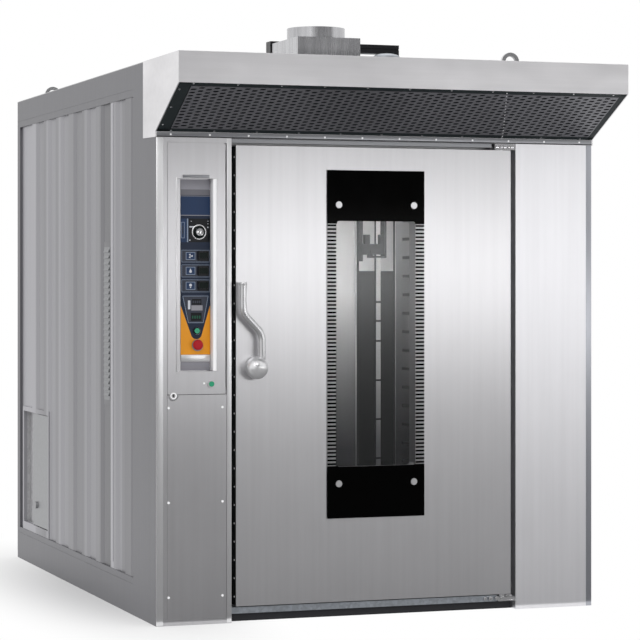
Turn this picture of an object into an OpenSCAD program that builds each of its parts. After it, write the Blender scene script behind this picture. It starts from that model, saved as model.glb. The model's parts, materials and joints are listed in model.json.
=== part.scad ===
// Rotating rack oven: a walk-in baking oven whose rack hangs from a turning hook.
// X runs from left to right, Y from the front to the back, Z up from the floor.
// Pieces are placed from the body's front left corner at the floor; place()
// moves them to the middle of the whole footprint.

/* [Casing] */
// Width of the body across its front
body_w = 1940; // [1900:10:2100]
// Depth of the body behind its front face
body_d = 2620; // [2560:10:2900]
// Height of the body
body_h = 2300; // [2270:10:2400]
// Thickness of the sheet metal
sheet = 3; // [2:0.5:4]
// Depth of the front columns, header and control cabinet
column_d = 105; // [98:1:120]
// Thickness of the side frames
frame_t = 20; // [18:1:26]
// Length of the plain front post seen from the side
front_post = 360; // [300:5:420]
// Length of the rear post seen from the side
rear_post = 57; // [40:1:90]
// Height of the side frame's bottom band
bottom_band = 157; // [120:1:180]
// Height of the side frame's top band
top_band = 132; // [100:1:150]
// Height of the base rails
base_h = 36; // [30:1:45]
// Width of a base rail
rail_w = 80; // [60:2:110]

/* [Side cladding] */
// Length of one rib and its valley
rib_pitch = 257; // [220:1:300]
// Depth of the ribs
rib_depth = 9; // [5:0.5:12]
// Width of a rib's flank
rib_flank = 34; // [20:1:50]
// Width of a rib's flat crown
rib_crown = 92; // [60:1:120]
// Width of the seam trim
seam_w = 38; // [26:1:50]
// Distance of the seam trim behind the front
seam_y = 703; // [640:1:760]
// Number of louvres
louvre_count = 25; // [12:1:26]
// Distance between two louvres
louvre_pitch = 26; // [22:1:27]
// Length of a louvre
louvre_len = 84; // [60:1:100]
// Height of the lowest louvre above the floor
louvre_z = 897; // [800:1:950]

/* [Front] */
// Width of the control cabinet
cabinet_w = 319; // [312:1:340]
// Gap between the control cabinet and the door
latch_gap = 19; // [16:1:26]
// Width of the door
door_w = 1223; // [1215:1:1260]
// Gap between the door and the right column
hinge_gap = 23; // [16:1:30]
// Thickness of the door
door_t = 75; // [66:1:76]
// Height of the door's lower edge above the floor
door_z = 67; // [66:1:72]
// Height of the door
door_h = 1885; // [1850:5:1890]
// Gap above the door, up to the header
head_gap = 28; // [26:1:34]
// Distance of the hinge axis from the door's right edge
pivot_in = 31; // [24:1:32]
// Distance of the hinge axis behind the door's face
pivot_y = 30; // [26:1:34]
// Radius of the door's hinge pins
pivot_r = 9; // [7:0.5:11]
// Thickness of the door seal
seal_t = 12; // [12:0.5:14]
// Overlap of the door over the jamb's opening
jamb_lap = 115; // [108:1:130]

/* [Window] */
// Width of the outer glass
glass_w = 434; // [420:2:460]
// Height of the door's upper edge above the glass's
glass_top = 94; // [80:1:110]
// Distance of the glass from the door's left edge
glass_x = 393; // [380:1:400]
// Height of the glass's lower edge above the door's
glass_z = 345; // [320:1:360]
// Thickness of each glass
glass_t = 6; // [5:0.5:8]
// Height of the dark ends of the glass
glass_end = 214; // [190:1:240]
// Width of the printed side bands of the glass
glass_band = 40; // [30:1:46]
// Radius of the round heads that hold the glass
disc_r = 14; // [10:0.5:18]

/* [Handle] */
// Distance of the handle's boss from the door's left edge
boss_x = 83; // [78:1:90]
// Height of the handle's boss above the floor
boss_z = 1041; // [1000:1:1100]
// Radius of the handle's boss
boss_r = 47; // [40:1:52]
// Radius of the handle tube
tube_r = 14.5; // [11:0.5:16]
// Distance of the tube's centre line in front of the door
tube_out = 62; // [54:1:72]
// Height of the tube's top above the boss
lever_h = 354; // [320:2:400]
// Sideways reach of the tube's top from the boss
lever_in = 52; // [40:1:56]

/* [Chamber] */
// Width of the baking chamber between its air walls
chamber_w = 1200; // [1180:10:1230]
// Depth of the baking chamber
chamber_d = 1215; // [1180:5:1240]
// Height of the baking chamber
chamber_h = 1900; // [1880:5:1910]
// Thickness of the insulated floor
floor_t = 39; // [36:1:42]
// Width of the air ducts beside the chamber
side_duct = 145; // [120:5:150]
// Depth of the air duct behind the chamber
rear_duct = 100; // [80:5:120]
// Thickness of the insulation behind the chamber
rear_insulation = 100; // [80:5:120]
// Height of an air slot
slot_h = 14; // [8:1:20]
// Length of an air slot
slot_w = 280; // [200:5:300]
// Number of air slots in a column
slot_count = 20; // [10:1:24]

/* [Hood] */
// Reach of the hood in front of the body
hood_reach = 345; // [320:5:380]
// Height of the hood's front face
fascia_h = 125; // [110:1:140]
// Length of the hood's side plates behind the front face of the body
hood_back = 187; // [150:1:220]
// Height of the strip below the grille
lip_h = 23; // [18:1:30]
// Overhang of the hood's side plates beyond the body
hood_side = 4.5; // [4:0.5:6]
// Distance of the seam between the two grille panels from the left
grille_seam = 1384; // [1300:1:1450]
// Thickness of the grille
grille_t = 2; // [1.5:0.5:3]
// Distance between two columns of grille holes
grille_pitch = 52; // [46:1:60]
// Distance between two holes of one column
grille_row = 38; // [34:1:44]
// Length of a grille hole
hole_len = 40; // [30:1:44]
// Height of a grille hole
hole_h = 16; // [10:1:18]

/* [Vapour outlet] */
// Width of the outlet box
vent_w = 270; // [255:1:300]
// Depth of the outlet box
vent_d = 330; // [310:1:350]
// Height of the outlet box
vent_h = 91; // [84:1:110]
// Distance of the outlet box from the left
vent_x = 554; // [500:1:600]
// Distance of the outlet box in front of the body's face
vent_out = 150; // [140:1:170]
// Radius of the round collar
collar_r = 120; // [100:1:124]
// Height of the round collar
collar_h = 58; // [50:1:70]

/* [Rack drive] */
// Radius of the rack's turning shaft
shaft_r = 25; // [20:1:30]
// Radius of the shaft's pulley
pulley_r = 100; // [80:1:110]
// Radius of the motor's pulley
pinion_r = 40; // [30:1:44]
// Width of the belt and its pulleys
belt_w = 20; // [14:1:24]
// Distance of the motor's shaft to the right of the rack's shaft
motor_dx = 286; // [270:1:300]
// Distance of the motor's shaft in front of the rack's shaft
motor_dy = 86; // [80:1:100]
// Radius of the gear motor's round housing
motor_r = 59; // [50:1:62]
// Height of the drive bridge above the roof
bridge_h = 153; // [145:1:170]
// Height of the bridge's beam
beam_h = 39; // [30:1:45]
// Depth of the bridge's beam
beam_d = 60; // [54:1:80]
// Reach of the rack hook's arms
hook_reach = 310; // [280:5:330]
// Drop of the rack hook below its arms
hook_drop = 380; // [300:5:400]

/* [Controls] */
// Width of the control recess
recess_w = 172; // [166:1:184]
// Height of the control recess
recess_h = 788; // [770:1:800]
// Depth of the control recess
recess_d = 45; // [42:1:50]
// Distance of the recess from the cabinet's left side
recess_x = 86; // [76:1:90]
// Height of the recess's lower edge above the floor
recess_z = 1028; // [1000:1:1040]
// Height of the seam between the service panel and the access panel
seam_z = 936; // [920:1:950]
// Width of the cabinet's corner strip
corner_w = 46; // [36:1:54]
// Radius of the timer knob
knob_r = 21; // [16:0.5:25]
// Radius of the emergency stop's head
stop_r = 21; // [17:0.5:23]
// Radius of a push button
button_r = 11; // [9:0.5:12]

/* [Plant room] */
// Radius of the fan wheel
fan_r = 250; // [200:5:280]
// Number of fan blades
fan_blades = 12; // [8:1:16]
// Radius of the combustion drum
drum_r = 210; // [180:5:220]
// Radius of the chimney stub
chimney_r = 75; // [60:1:90]
// Length of the burner hatch
hatch_l = 331; // [300:1:340]
// Height of the burner hatch
hatch_h = 552; // [500:1:560]
// Length of the fixed plate behind the hatch's rear half
bay_plate = 177; // [150:1:190]

/* [Hidden] */
$fn = 48;

// Clearances
run_gap = 0.05;    // between a shaft and its bore
rest_gap = 0.3;    // between two bodies that rest near each other
panel_gap = 2;     // around a panel that opens

// Front layout
door_x = cabinet_w + latch_gap;
column_x = door_x + door_w + hinge_gap;
header_z = door_z + door_h + head_gap;
sill_top = door_z - 5;
pivot_x = door_x + door_w - pivot_in;
jamb_y = door_t + seal_t + rest_gap;
opening_x0 = door_x + jamb_lap;
opening_x1 = door_x + door_w - jamb_lap;
opening_z0 = base_h + floor_t;
head_lap = 52;
opening_z1 = door_z + door_h - head_lap;

// Chamber layout
chamber_x = door_x + door_w / 2;
chamber_y0 = column_d + sheet;
chamber_y1 = chamber_y0 + chamber_d;
chamber_z0 = base_h + floor_t;
chamber_z1 = chamber_z0 + chamber_h;
wall_x0 = chamber_x - chamber_w / 2;
wall_x1 = chamber_x + chamber_w / 2;
lining_x0 = wall_x0 - side_duct - sheet;
lining_x1 = wall_x1 + side_duct + sheet;
lining_y1 = chamber_y1 + sheet + rear_duct + sheet;
plant_y0 = lining_y1 + rear_insulation;
rotor_y = chamber_y0 + chamber_d / 2;
roof_z = body_h - sheet;
front_y = (hood_reach - body_d) / 2;

module place() {
    translate([-body_w / 2, front_y, 0]) children();
}

// A block from one corner to the opposite one
module block(a, b) {
    translate(a) cube(b - a);
}

// A cylinder along +Y
module ycyl(x, y0, y1, z, r) {
    translate([x, y1, z]) rotate([90, 0, 0]) cylinder(h = y1 - y0, r = r);
}

// A cylinder along +X
module xcyl(x0, x1, y, z, r) {
    translate([x0, y, z]) rotate([0, 90, 0]) cylinder(h = x1 - x0, r = r);
}

// A cylinder along +Z
module zcyl(x, y, z0, z1, r) {
    translate([x, y, z0]) cylinder(h = z1 - z0, r = r);
}

// A rectangle with round corners in the XZ plane, from Y = y0 to y1
module rounded_window(x0, x1, z0, z1, r, y0, y1) {
    block([x0 + r, y0, z0], [x1 - r, y1, z1]);
    block([x0, y0, z0 + r], [x1, y1, z1 - r]);
    for (x = [x0 + r, x1 - r], z = [z0 + r, z1 - r]) ycyl(x, y0, y1, z, r);
}

// ---- Casing ----------------------------------------------------------------

module base_frame() place() color("dimgray") {
    rail_y0 = 50;
    block([frame_t, column_d, 0], [frame_t + rail_w, body_d - sheet, base_h]);
    block([body_w - frame_t - rail_w, column_d, 0], [body_w - frame_t, body_d - sheet, base_h]);
    block([cabinet_w, rail_y0, 0], [column_x, rail_y0 + rail_w, base_h]);
    for (y = [column_d, plant_y0 - rail_w, (plant_y0 + body_d - rail_w) / 2, body_d - sheet - rail_w])
        block([frame_t, y, 0], [body_w - frame_t, y + rail_w, base_h]);
}

module floor_pan() place() color("darkgray")
    block([lining_x0, column_d, base_h], [lining_x1, lining_y1, opening_z0]);

module door_sill() place() color("lightsteelblue") {
    sill_y = 12;
    hinge_room = pivot_in + 26;
    difference() {
        block([cabinet_w, sill_y, base_h], [column_x, column_d, sill_top]);
        block([column_x - hinge_gap - hinge_room, sill_y - 1, base_h - 1],
            [column_x + 1, pivot_y + 30, sill_top + 1]);
    }
}

// Left front column: a sheet metal cabinet, open at the front
panel_x0 = corner_w;
panel_x1 = cabinet_w - 21;
panel_top = header_z - 20;
panel_bottom = 22;
flange = 10;

// Hinge of the control panel
hinge_room = 5;
service_x1 = panel_x1 - hinge_room;
hinge_clear_x = service_x1 - 2 * sheet;
knuckle_x = service_x1 - 2;
knuckle_y = 6;
knuckle_r = 3;
knuckle_pin_r = 1.5;
knuckle_l = 24;
knuckle_in = 4;
pin_reach = 20;

module control_cabinet() place() color("silver") {
    rail_h = 40;
    lock_room = 46;
    difference() {
        block([0, 0, 0], [cabinet_w, column_d, body_h]);
        block([sheet, sheet, sheet], [cabinet_w - sheet, column_d - sheet, body_h - sheet]);
        block([panel_x0, -1, panel_bottom], [panel_x1, sheet + 1, panel_top]);
    }
    // Flanges behind the two panels, clear of the hinge
    block([panel_x0 - 1, sheet, panel_bottom], [panel_x0 + flange, 2 * sheet, panel_top]);
    block([panel_x0, sheet, panel_top - flange], [hinge_clear_x, 2 * sheet, panel_top + 1]);
    block([panel_x0, sheet, panel_bottom - 1], [panel_x1 + 1, 2 * sheet, panel_bottom + flange]);
    block([panel_x1 - flange, sheet, panel_bottom], [panel_x1 + 1, 2 * sheet, seam_z - rail_h / 2]);
    block([panel_x0 + lock_room, sheet, seam_z - rail_h / 2], [cabinet_w - sheet, 2 * sheet, seam_z]);
    block([panel_x0 + lock_room, sheet, seam_z - 1],
        [hinge_clear_x, 2 * sheet, seam_z + rail_h / 2 - panel_gap]);
    cabinet_knuckle(seam_z + knuckle_in, 1);
    cabinet_knuckle(panel_top - knuckle_in, -1);
}

// Barrel, pin and leaf of one hinge half on the cabinet; up is 1 where the pin points up
module cabinet_knuckle(z, up) {
    leaf_y = knuckle_y + knuckle_r - 1.2;
    z0 = min(z, z + up * knuckle_l);
    z1 = z0 + knuckle_l;
    far = z + up * (knuckle_l + pin_reach);
    zcyl(knuckle_x, knuckle_y, z0, z1, knuckle_r);
    zcyl(knuckle_x, knuckle_y, min(z + up, far), max(z + up, far), knuckle_pin_r);
    block([knuckle_x, leaf_y, z0], [panel_x1 + 2 * sheet, knuckle_y + knuckle_r, z1]);
    block([panel_x1 + sheet, sheet, z0], [panel_x1 + 2 * sheet, knuckle_y + knuckle_r, z1]);
}

module right_column() place() color("silver") {
    fold_w = 24;
    groove = 1.5;
    difference() {
        block([column_x, 0, 0], [body_w, column_d, body_h]);
        block([column_x + sheet, sheet, -1], [body_w - sheet, column_d + 1, body_h - sheet]);
        // Fold line of the corner strip
        block([body_w - fold_w - groove, -1, -1], [body_w - fold_w, groove, body_h + 1]);
    }
}

// Panel above the door, with the rail that shows over the door's upper edge
module front_header() place() color("silver") {
    rail_y0 = 12;
    rail_y1 = 34;
    rail_h = 18;
    difference() {
        block([cabinet_w, 0, header_z], [column_x, column_d, body_h]);
        block([cabinet_w - 1, sheet, header_z + sheet], [column_x + 1, column_d + 1, body_h - sheet]);
    }
    block([cabinet_w, rail_y0, header_z - rail_h],
        [pivot_x - 50, rail_y1, header_z]);
}

module door_jamb() place() color("gainsboro") difference() {
    block([cabinet_w, jamb_y, sill_top], [column_x, column_d, header_z]);
    block([opening_x0, jamb_y - 1, opening_z0], [opening_x1, column_d + 1, opening_z1]);
}

module side_frame() difference() {
    block([0, column_d, 0], [frame_t, body_d - sheet, roof_z]);
    block([-1, front_post, bottom_band], [frame_t + 1, body_d - rear_post, body_h - top_band]);
    // Fold lines of the trim strips at the bands
    for (z = [bottom_band - 26, body_h - top_band + 30])
        block([-1, front_post, z - 1], [1, body_d, z + 1]);
}

module mirrored() {
    translate([body_w, 0, 0]) mirror([1, 0, 0]) children();
}

module side_frames() place() color("gray") {
    side_frame();
    mirrored() side_frame();
}

// Outline of the ribbed sheet, seen from above: ribs stand out to the left
cladding_y0 = front_post;
cladding_y1 = body_d - rear_post;
cladding_face = 3;
cladding_edge = 12;
rib_width = 2 * rib_flank + rib_crown;
rib_total = floor((cladding_y1 - cladding_y0 - cladding_edge - rib_width) / rib_pitch);

function rib_points(i) = let (y = cladding_y0 + cladding_edge + i * rib_pitch) [
    [cladding_face + rib_depth, y],
    [cladding_face, y + rib_flank],
    [cladding_face, y + rib_flank + rib_crown],
    [cladding_face + rib_depth, y + rib_width]
];

module ribbed_sheet() {
    outline = concat([[frame_t, cladding_y0], [cladding_face + rib_depth, cladding_y0]],
        [for (i = [0:rib_total]) each rib_points(i)],
        [[cladding_face + rib_depth, cladding_y1], [frame_t, cladding_y1]]);
    translate([0, 0, bottom_band]) linear_extrude(body_h - top_band - bottom_band) polygon(outline);
}

// Bright strip over the seam between two lengths of cladding
module seam_trim() block([cladding_face - 1.5, seam_y, bottom_band + 30],
    [cladding_face + rib_depth + 1, seam_y + seam_w, body_h - top_band - 5]);

hatch_y0 = 1959;
hatch_z0 = 195;
bay_y1 = hatch_y0 + hatch_l + 20 + bay_plate;
hatch_z1 = hatch_z0 + hatch_h;
hatch_pin_y = hatch_y0 + 7;
hatch_pin_x = 8;
hatch_pin_r = 3;
louvre_y = seam_y + seam_w + 37;

module left_side_panel() place() color("lightslategray") {
    surround = 22;
    difference() {
        union() {
            ribbed_sheet();
            seam_trim();
            block([cladding_face, hatch_y0 - surround, bottom_band],
                [frame_t, bay_y1 + surround, hatch_z1 + surround]);
            block([cladding_face + 4, louvre_y - 14, louvre_z - 40],
                [frame_t, louvre_y + louvre_len + 14, louvre_z + louvre_count * louvre_pitch + 20]);
        }
        block([-1, hatch_y0, hatch_z0], [frame_t + 1, bay_y1, hatch_z1]);
        block([-1, louvre_y, louvre_z - 10],
            [frame_t + 1, louvre_y + louvre_len, louvre_z + (louvre_count - 1) * louvre_pitch + 16]);
        zcyl(hatch_pin_x, hatch_pin_y, hatch_z0 - 12, hatch_z1 + 12, hatch_pin_r + run_gap);
    }
}

module right_side_panel() place() color("lightslategray") mirrored() union() {
    ribbed_sheet();
    seam_trim();
}

// Pressed louvres over a slotted plate
module louvre_panel() place() color("gray") {
    plate_x = cladding_face + 2;
    rise = 14;
    margin = 8;
    z_top = louvre_z + (louvre_count - 1) * louvre_pitch + 16;
    difference() {
        block([plate_x, louvre_y - margin, louvre_z - 10 - margin],
            [plate_x + 2, louvre_y + louvre_len + margin, z_top + margin]);
        for (i = [0:louvre_count - 1])
            block([plate_x - 1, louvre_y + 4, louvre_z + i * louvre_pitch],
                [plate_x + 3, louvre_y + louvre_len - 4, louvre_z + i * louvre_pitch + 6]);
    }
    for (i = [0:louvre_count - 1])
        translate([plate_x, louvre_y + louvre_len, louvre_z + i * louvre_pitch])
            rotate([90, 0, 0]) linear_extrude(louvre_len)
                polygon([[0, rise], [0, 6], [-3.4, 0], [-5, 0], [-5, 1], [-1.2, rise]]);
}

module rear_panel() place() color("lightslategray") {
    rib_w = 60;
    block([0, body_d - sheet, base_h], [body_w, body_d, roof_z]);
    for (x = [body_w / 3, 2 * body_w / 3])
        block([x - rib_w / 2, body_d - sheet - 12, base_h], [x + rib_w / 2, body_d - sheet, roof_z - 8]);
}

// ---- Roof and hood -----------------------------------------------------------

bearing_r = 45;
vent_x1 = vent_x + vent_w;
vent_y0 = -vent_out;
vent_y1 = vent_y0 + vent_d;
vent_cx = vent_x + vent_w / 2;
vent_cy = (vent_y0 + vent_y1) / 2;
chimney_x = 400;
chimney_l = 40;
flue_r = chimney_r - 5;
plant_cy = 2125;

module roof_panel() place() color("silver") difference() {
    block([0, column_d, roof_z], [body_w, body_d, body_h]);
    zcyl(chamber_x, rotor_y, roof_z - 1, body_h + 1, bearing_r + rest_gap);
    zcyl(chimney_x, plant_cy, roof_z - 1, body_h + 1, flue_r + rest_gap);
}

fascia_z = body_h - fascia_h;
lip_top = header_z + lip_h;

module hood_shell() place() color("silver") {
    side_outline = [[-hood_reach, fascia_z], [-hood_reach, body_h], [hood_back, body_h],
        [hood_back, header_z + 4], [0, header_z], [-sheet, header_z], [-sheet, lip_top]];
    for (x = [-hood_side, body_w])
        translate([x, 0, 0]) rotate([90, 0, 90]) linear_extrude(hood_side) polygon(side_outline);
    difference() {
        block([0, -hood_reach, fascia_z], [body_w, 0, body_h]);
        block([-1, sheet - hood_reach, fascia_z - 1], [body_w + 1, 1, body_h - sheet]);
        // Vapour opening under the outlet box
        block([vent_x + 12, vent_y0 + 10, body_h - sheet - 1], [vent_x1 - 12, -12, body_h + 1]);
    }
    block([0, -sheet, header_z], [body_w, 0, lip_top]);
}

// Perforated panels that slope from the fascia down to the lip
slope_dy = hood_reach - 2 * sheet - 2 * rest_gap;
slope_dz = fascia_z - lip_top;
slope_len = sqrt(slope_dy * slope_dy + slope_dz * slope_dz);
slope_angle = atan(slope_dz / slope_dy);
grille_edge = 17;

// One slanted slot of the mesh
function slot_points(cx, cy) = [
    [cx - hole_len / 2, cy - hole_h / 2], [cx + hole_len / 2 - 5, cy - hole_h / 2],
    [cx + hole_len / 2, cy + hole_h / 2], [cx - hole_len / 2 + 5, cy + hole_h / 2]
];

module perforated_panel(x0, x1, edge0, edge1) {
    columns = floor((x1 - x0 - edge0 - edge1 - hole_len) / grille_pitch);
    rows = floor((slope_len - 2 * grille_edge - hole_h - grille_row / 2) / grille_row);
    centres = [for (i = [0:columns], j = [0:rows])
        [x0 + edge0 + hole_len / 2 + i * grille_pitch,
            grille_edge + hole_h / 2 + (j + (i % 2) / 2) * grille_row]];
    points = concat([[x0, 0], [x1, 0], [x1, slope_len], [x0, slope_len]],
        [for (c = centres) each slot_points(c[0], c[1])]);
    paths = concat([[0, 1, 2, 3]],
        [for (k = [0:len(centres) - 1]) [for (m = [0:3]) 4 + 4 * k + m]]);
    linear_extrude(grille_t) polygon(points, paths);
}

module hood_grille() place() color("dimgray")
    translate([0, -sheet - rest_gap, lip_top]) rotate([180 - slope_angle, 0, 0])
        mirror([0, 0, 1]) {
            perforated_panel(0, grille_seam - 1, 48, 12);
            perforated_panel(grille_seam + 1, body_w, 12, 20);
        }

module vapour_outlet() place() color("silver") {
    top = body_h + vent_h;
    difference() {
        union() {
            block([vent_x, vent_y0, body_h], [vent_x1, vent_y1, top]);
            zcyl(vent_cx, vent_cy, top - sheet, top + collar_h - 9, collar_r);
        }
        block([vent_x + sheet, vent_y0 + sheet, body_h - 1],
            [vent_x1 - sheet, vent_y1 - sheet, top - sheet]);
        zcyl(vent_cx, vent_cy, body_h, top + collar_h, collar_r - sheet);
    }
}

flap_pin_y = -17;
flap_pin_r = 4;
flap_z = body_h + flap_pin_r + rest_gap;

// Vapour flap over the hood's opening, hinged at its rear edge
module vapour_flap() place() color("gray") {
    side_gap = 3;
    front_gap = 4;
    flap_t = 3;
    block([vent_x + sheet + side_gap, vent_y0 + sheet + front_gap, flap_z - flap_t / 2],
        [vent_x1 - sheet - side_gap, flap_pin_y, flap_z + flap_t / 2]);
    xcyl(vent_x + sheet + rest_gap, vent_x1 - sheet - rest_gap, flap_pin_y, flap_z, flap_pin_r);
}

bridge_x0 = chamber_x - 239;
bridge_x1 = chamber_x + motor_dx + 82;
bridge_y0 = rotor_y - beam_d / 2;
bridge_y1 = rotor_y + beam_d / 2;
bridge_top = body_h + bridge_h;
belt_z0 = body_h + 16;
belt_z1 = belt_z0 + belt_w;
motor_x = chamber_x + motor_dx;
motor_y = rotor_y - motor_dy;
bridge_foot = 25;
pinion_shaft_r = 9;
pinion_shaft = 30;

module drive_bridge() place() color("black") {
    leg_w = 40;
    foot_t = 8;
    groove_w = 6;
    groove_d = 4;
    difference() {
        block([bridge_x0, bridge_y0, bridge_top - beam_h], [bridge_x1, bridge_y1, bridge_top]);
        zcyl(chamber_x, rotor_y, bridge_top - beam_h - 1, bridge_top + 1, shaft_r + run_gap);
        // Groove along the beam's front
        block([bridge_x0 - 1, bridge_y0 - 1, bridge_top - beam_h / 2 - groove_w / 2],
            [bridge_x1 + 1, bridge_y0 + groove_d, bridge_top - beam_h / 2 + groove_w / 2]);
    }
    for (x = [bridge_x0, bridge_x1 - leg_w]) {
        block([x, bridge_y0, body_h], [x + leg_w, bridge_y1, bridge_top - beam_h]);
        block([x, bridge_y0 - bridge_foot, body_h], [x + leg_w, bridge_y1 + bridge_foot, body_h + foot_t]);
    }
}

// Reduction gear with its domed cap, on a raised plate; the motor lies behind it
module gear_motor() place() color("silver") {
    plate_z = belt_z1 + 4;
    plate_t = 6;
    plate_rim = 9;
    base_t = 5;
    leg_t = 8;
    leg_gap = 10;
    motor_body_r = 32;
    motor_len = 190;
    dome_h = 14;
    cap_z = bridge_top - beam_h - 18;
    motor_axis = plate_z + plate_t + motor_body_r + 1;
    x0 = motor_x - motor_r - plate_rim;
    x1 = motor_x + motor_r + plate_rim;
    y0 = motor_y - motor_r - plate_rim;
    y1 = bridge_y0 - bridge_foot - 1;
    leg_x = motor_x + pinion_r + leg_gap;
    difference() {
        union() {
            block([x0, y0, plate_z], [x1, y1, plate_z + plate_t]);
            // Housing with its domed cap
            translate([motor_x, motor_y, 0]) rotate_extrude() polygon([[0, plate_z], [motor_r, plate_z],
                [motor_r, cap_z], [0.85 * motor_r, cap_z + 0.45 * dome_h], [0.55 * motor_r, cap_z + 0.8 * dome_h],
                [0, cap_z + dome_h]]);
            ycyl(motor_x, motor_y, motor_y + motor_r + motor_len, motor_axis, motor_body_r);
        }
        zcyl(motor_x, motor_y, plate_z - 1, belt_z1 + pinion_shaft, pinion_shaft_r + run_gap);
    }
    for (y = [y0, y1 - leg_t])
        block([leg_x, y, body_h], [x1, y + leg_t, plate_z]);
    block([leg_x, y0, body_h], [x1, y1, body_h + base_t]);
}

module motor_pulley() place() color("dimgray") {
    zcyl(motor_x, motor_y, belt_z0, belt_z1, pinion_r);
    zcyl(motor_x, motor_y, belt_z1, belt_z1 + pinion_shaft - 1, pinion_shaft_r);
}

// Flat belt round both pulleys
belt_gap = rest_gap;
belt_t = 4;
belt_dist = sqrt(motor_dx * motor_dx + motor_dy * motor_dy);
belt_lean = asin((pulley_r - pinion_r) / belt_dist);
belt_heading = atan2(-motor_dy, motor_dx);

function arc_points(cx, r, a0, a1, n) =
    [for (k = [0:n]) let (a = a0 + (a1 - a0) * k / n) [cx + r * cos(a), r * sin(a)]];

function belt_outline(extra) = concat(
    arc_points(0, pulley_r + extra, 90 - belt_lean, 270 + belt_lean, 40),
    arc_points(belt_dist, pinion_r + extra, -90 + belt_lean, 90 - belt_lean, 28));

module drive_belt() place() color("black")
    translate([chamber_x, rotor_y, belt_z0]) rotate([0, 0, belt_heading])
        linear_extrude(belt_w) difference() {
            polygon(belt_outline(belt_gap + belt_t));
            polygon(belt_outline(belt_gap));
        }

module top_bearing() place() color("silver") difference() {
    union() {
        zcyl(chamber_x, rotor_y, body_h, body_h + 12, bearing_r + 35);
        zcyl(chamber_x, rotor_y, roof_z - 100, body_h, bearing_r);
    }
    zcyl(chamber_x, rotor_y, roof_z - 101, body_h + 13, shaft_r + run_gap);
}

hook_z = chamber_z1 - 95;

module rotor_shaft() place() color("silver") {
    zcyl(chamber_x, rotor_y, hook_z, bridge_top - 8, shaft_r);
    zcyl(chamber_x, rotor_y, belt_z0, belt_z1, pulley_r);
    // Hub under the pulley
    zcyl(chamber_x, rotor_y, body_h + 12 + rest_gap, belt_z0, shaft_r + 14);
}

// Cross arm with a claw at each end that takes the rack's upper frame
module rack_hook() place() color("gray") {
    arm_h = 45;
    arm_d = 50;
    bar_t = 10;
    claw = 75;
    lip = 24;
    foot_z = hook_z - hook_drop;
    translate([chamber_x, rotor_y, 0]) {
        block([-hook_reach, -arm_d / 2, hook_z - arm_h], [hook_reach, arm_d / 2, hook_z]);
        for (side = [0, 1]) mirror([side, 0, 0]) {
            block([hook_reach - bar_t, -arm_d / 2, foot_z], [hook_reach, arm_d / 2, hook_z - arm_h]);
            block([hook_reach - claw, -arm_d / 2, foot_z], [hook_reach - bar_t, arm_d / 2, foot_z + bar_t]);
            block([hook_reach - claw, -arm_d / 2, foot_z + bar_t],
                [hook_reach - claw + bar_t, arm_d / 2, foot_z + bar_t + lip]);
        }
    }
}

eye_r = 40;
eye_hole = 24;
eye_t = 16;
eye_spots = [[1584, 60], [160, body_d - 90], [body_w - 160, body_d - 90]];

module lifting_eyes() place() color("silver") for (p = eye_spots) {
    zcyl(p[0], p[1], body_h, body_h + 6, 22);
    difference() {
        ycyl(p[0], p[1] - eye_t / 2, p[1] + eye_t / 2, body_h + eye_r - 6, eye_r);
        ycyl(p[0], p[1] - eye_t, p[1] + eye_t, body_h + eye_r - 6, eye_hole);
        block([p[0] - eye_r, p[1] - eye_t, body_h - eye_r], [p[0] + eye_r, p[1] + eye_t, body_h]);
    }
}

// ---- Chamber -------------------------------------------------------------------

module chamber_lining() place() color("gainsboro") difference() {
    block([lining_x0, column_d, chamber_z0], [lining_x1, lining_y1, chamber_z1 + sheet]);
    block([lining_x0 + sheet, chamber_y0, chamber_z0 - 1],
        [lining_x1 - sheet, lining_y1 - sheet, chamber_z1]);
    block([opening_x0, column_d - 1, chamber_z0 - 1], [opening_x1, chamber_y0 + 1, opening_z1]);
    zcyl(chamber_x, rotor_y, chamber_z1 - 1, chamber_z1 + sheet + 1, shaft_r + 4);
    ycyl(chamber_x, lining_y1 - sheet - 1, lining_y1 + 1, fan_z, fan_r * 0.8);
}

module insulation() place() color("khaki") {
    top_z = chamber_z1 + sheet;
    block([frame_t, column_d, base_h], [lining_x0, plant_y0, roof_z]);
    block([lining_x1, column_d, base_h], [body_w - frame_t, plant_y0, roof_z]);
    difference() {
        block([lining_x0, column_d, top_z], [lining_x1, plant_y0, roof_z]);
        zcyl(chamber_x, rotor_y, top_z - 1, roof_z + 1, bearing_r + 2);
    }
    difference() {
        block([lining_x0, lining_y1, base_h], [lining_x1, plant_y0, top_z]);
        ycyl(chamber_x, lining_y1 - 1, plant_y0 + 1, fan_z, fan_r * 0.8);
    }
}

// Side walls of the chamber with columns of slots that blow the hot air
module slotted_wall(x) {
    first_z = 120;
    pitch = (chamber_h - 2 * first_z) / (slot_count - 1);
    columns = 3;
    depth = lining_y1 - sheet - chamber_y0;
    span = chamber_d - slot_w - 160;
    translate([x, chamber_y0, chamber_z0]) rotate([90, 0, 90]) linear_extrude(sheet) difference() {
        square([depth, chamber_h]);
        for (c = [0:columns - 1], i = [0:slot_count - 1])
            translate([80 + c * span / (columns - 1), first_z + i * pitch - slot_h / 2])
                square([slot_w, slot_h]);
    }
}

module side_air_ducts() place() color("gainsboro") {
    slotted_wall(wall_x0 - sheet);
    slotted_wall(wall_x1);
}

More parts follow.
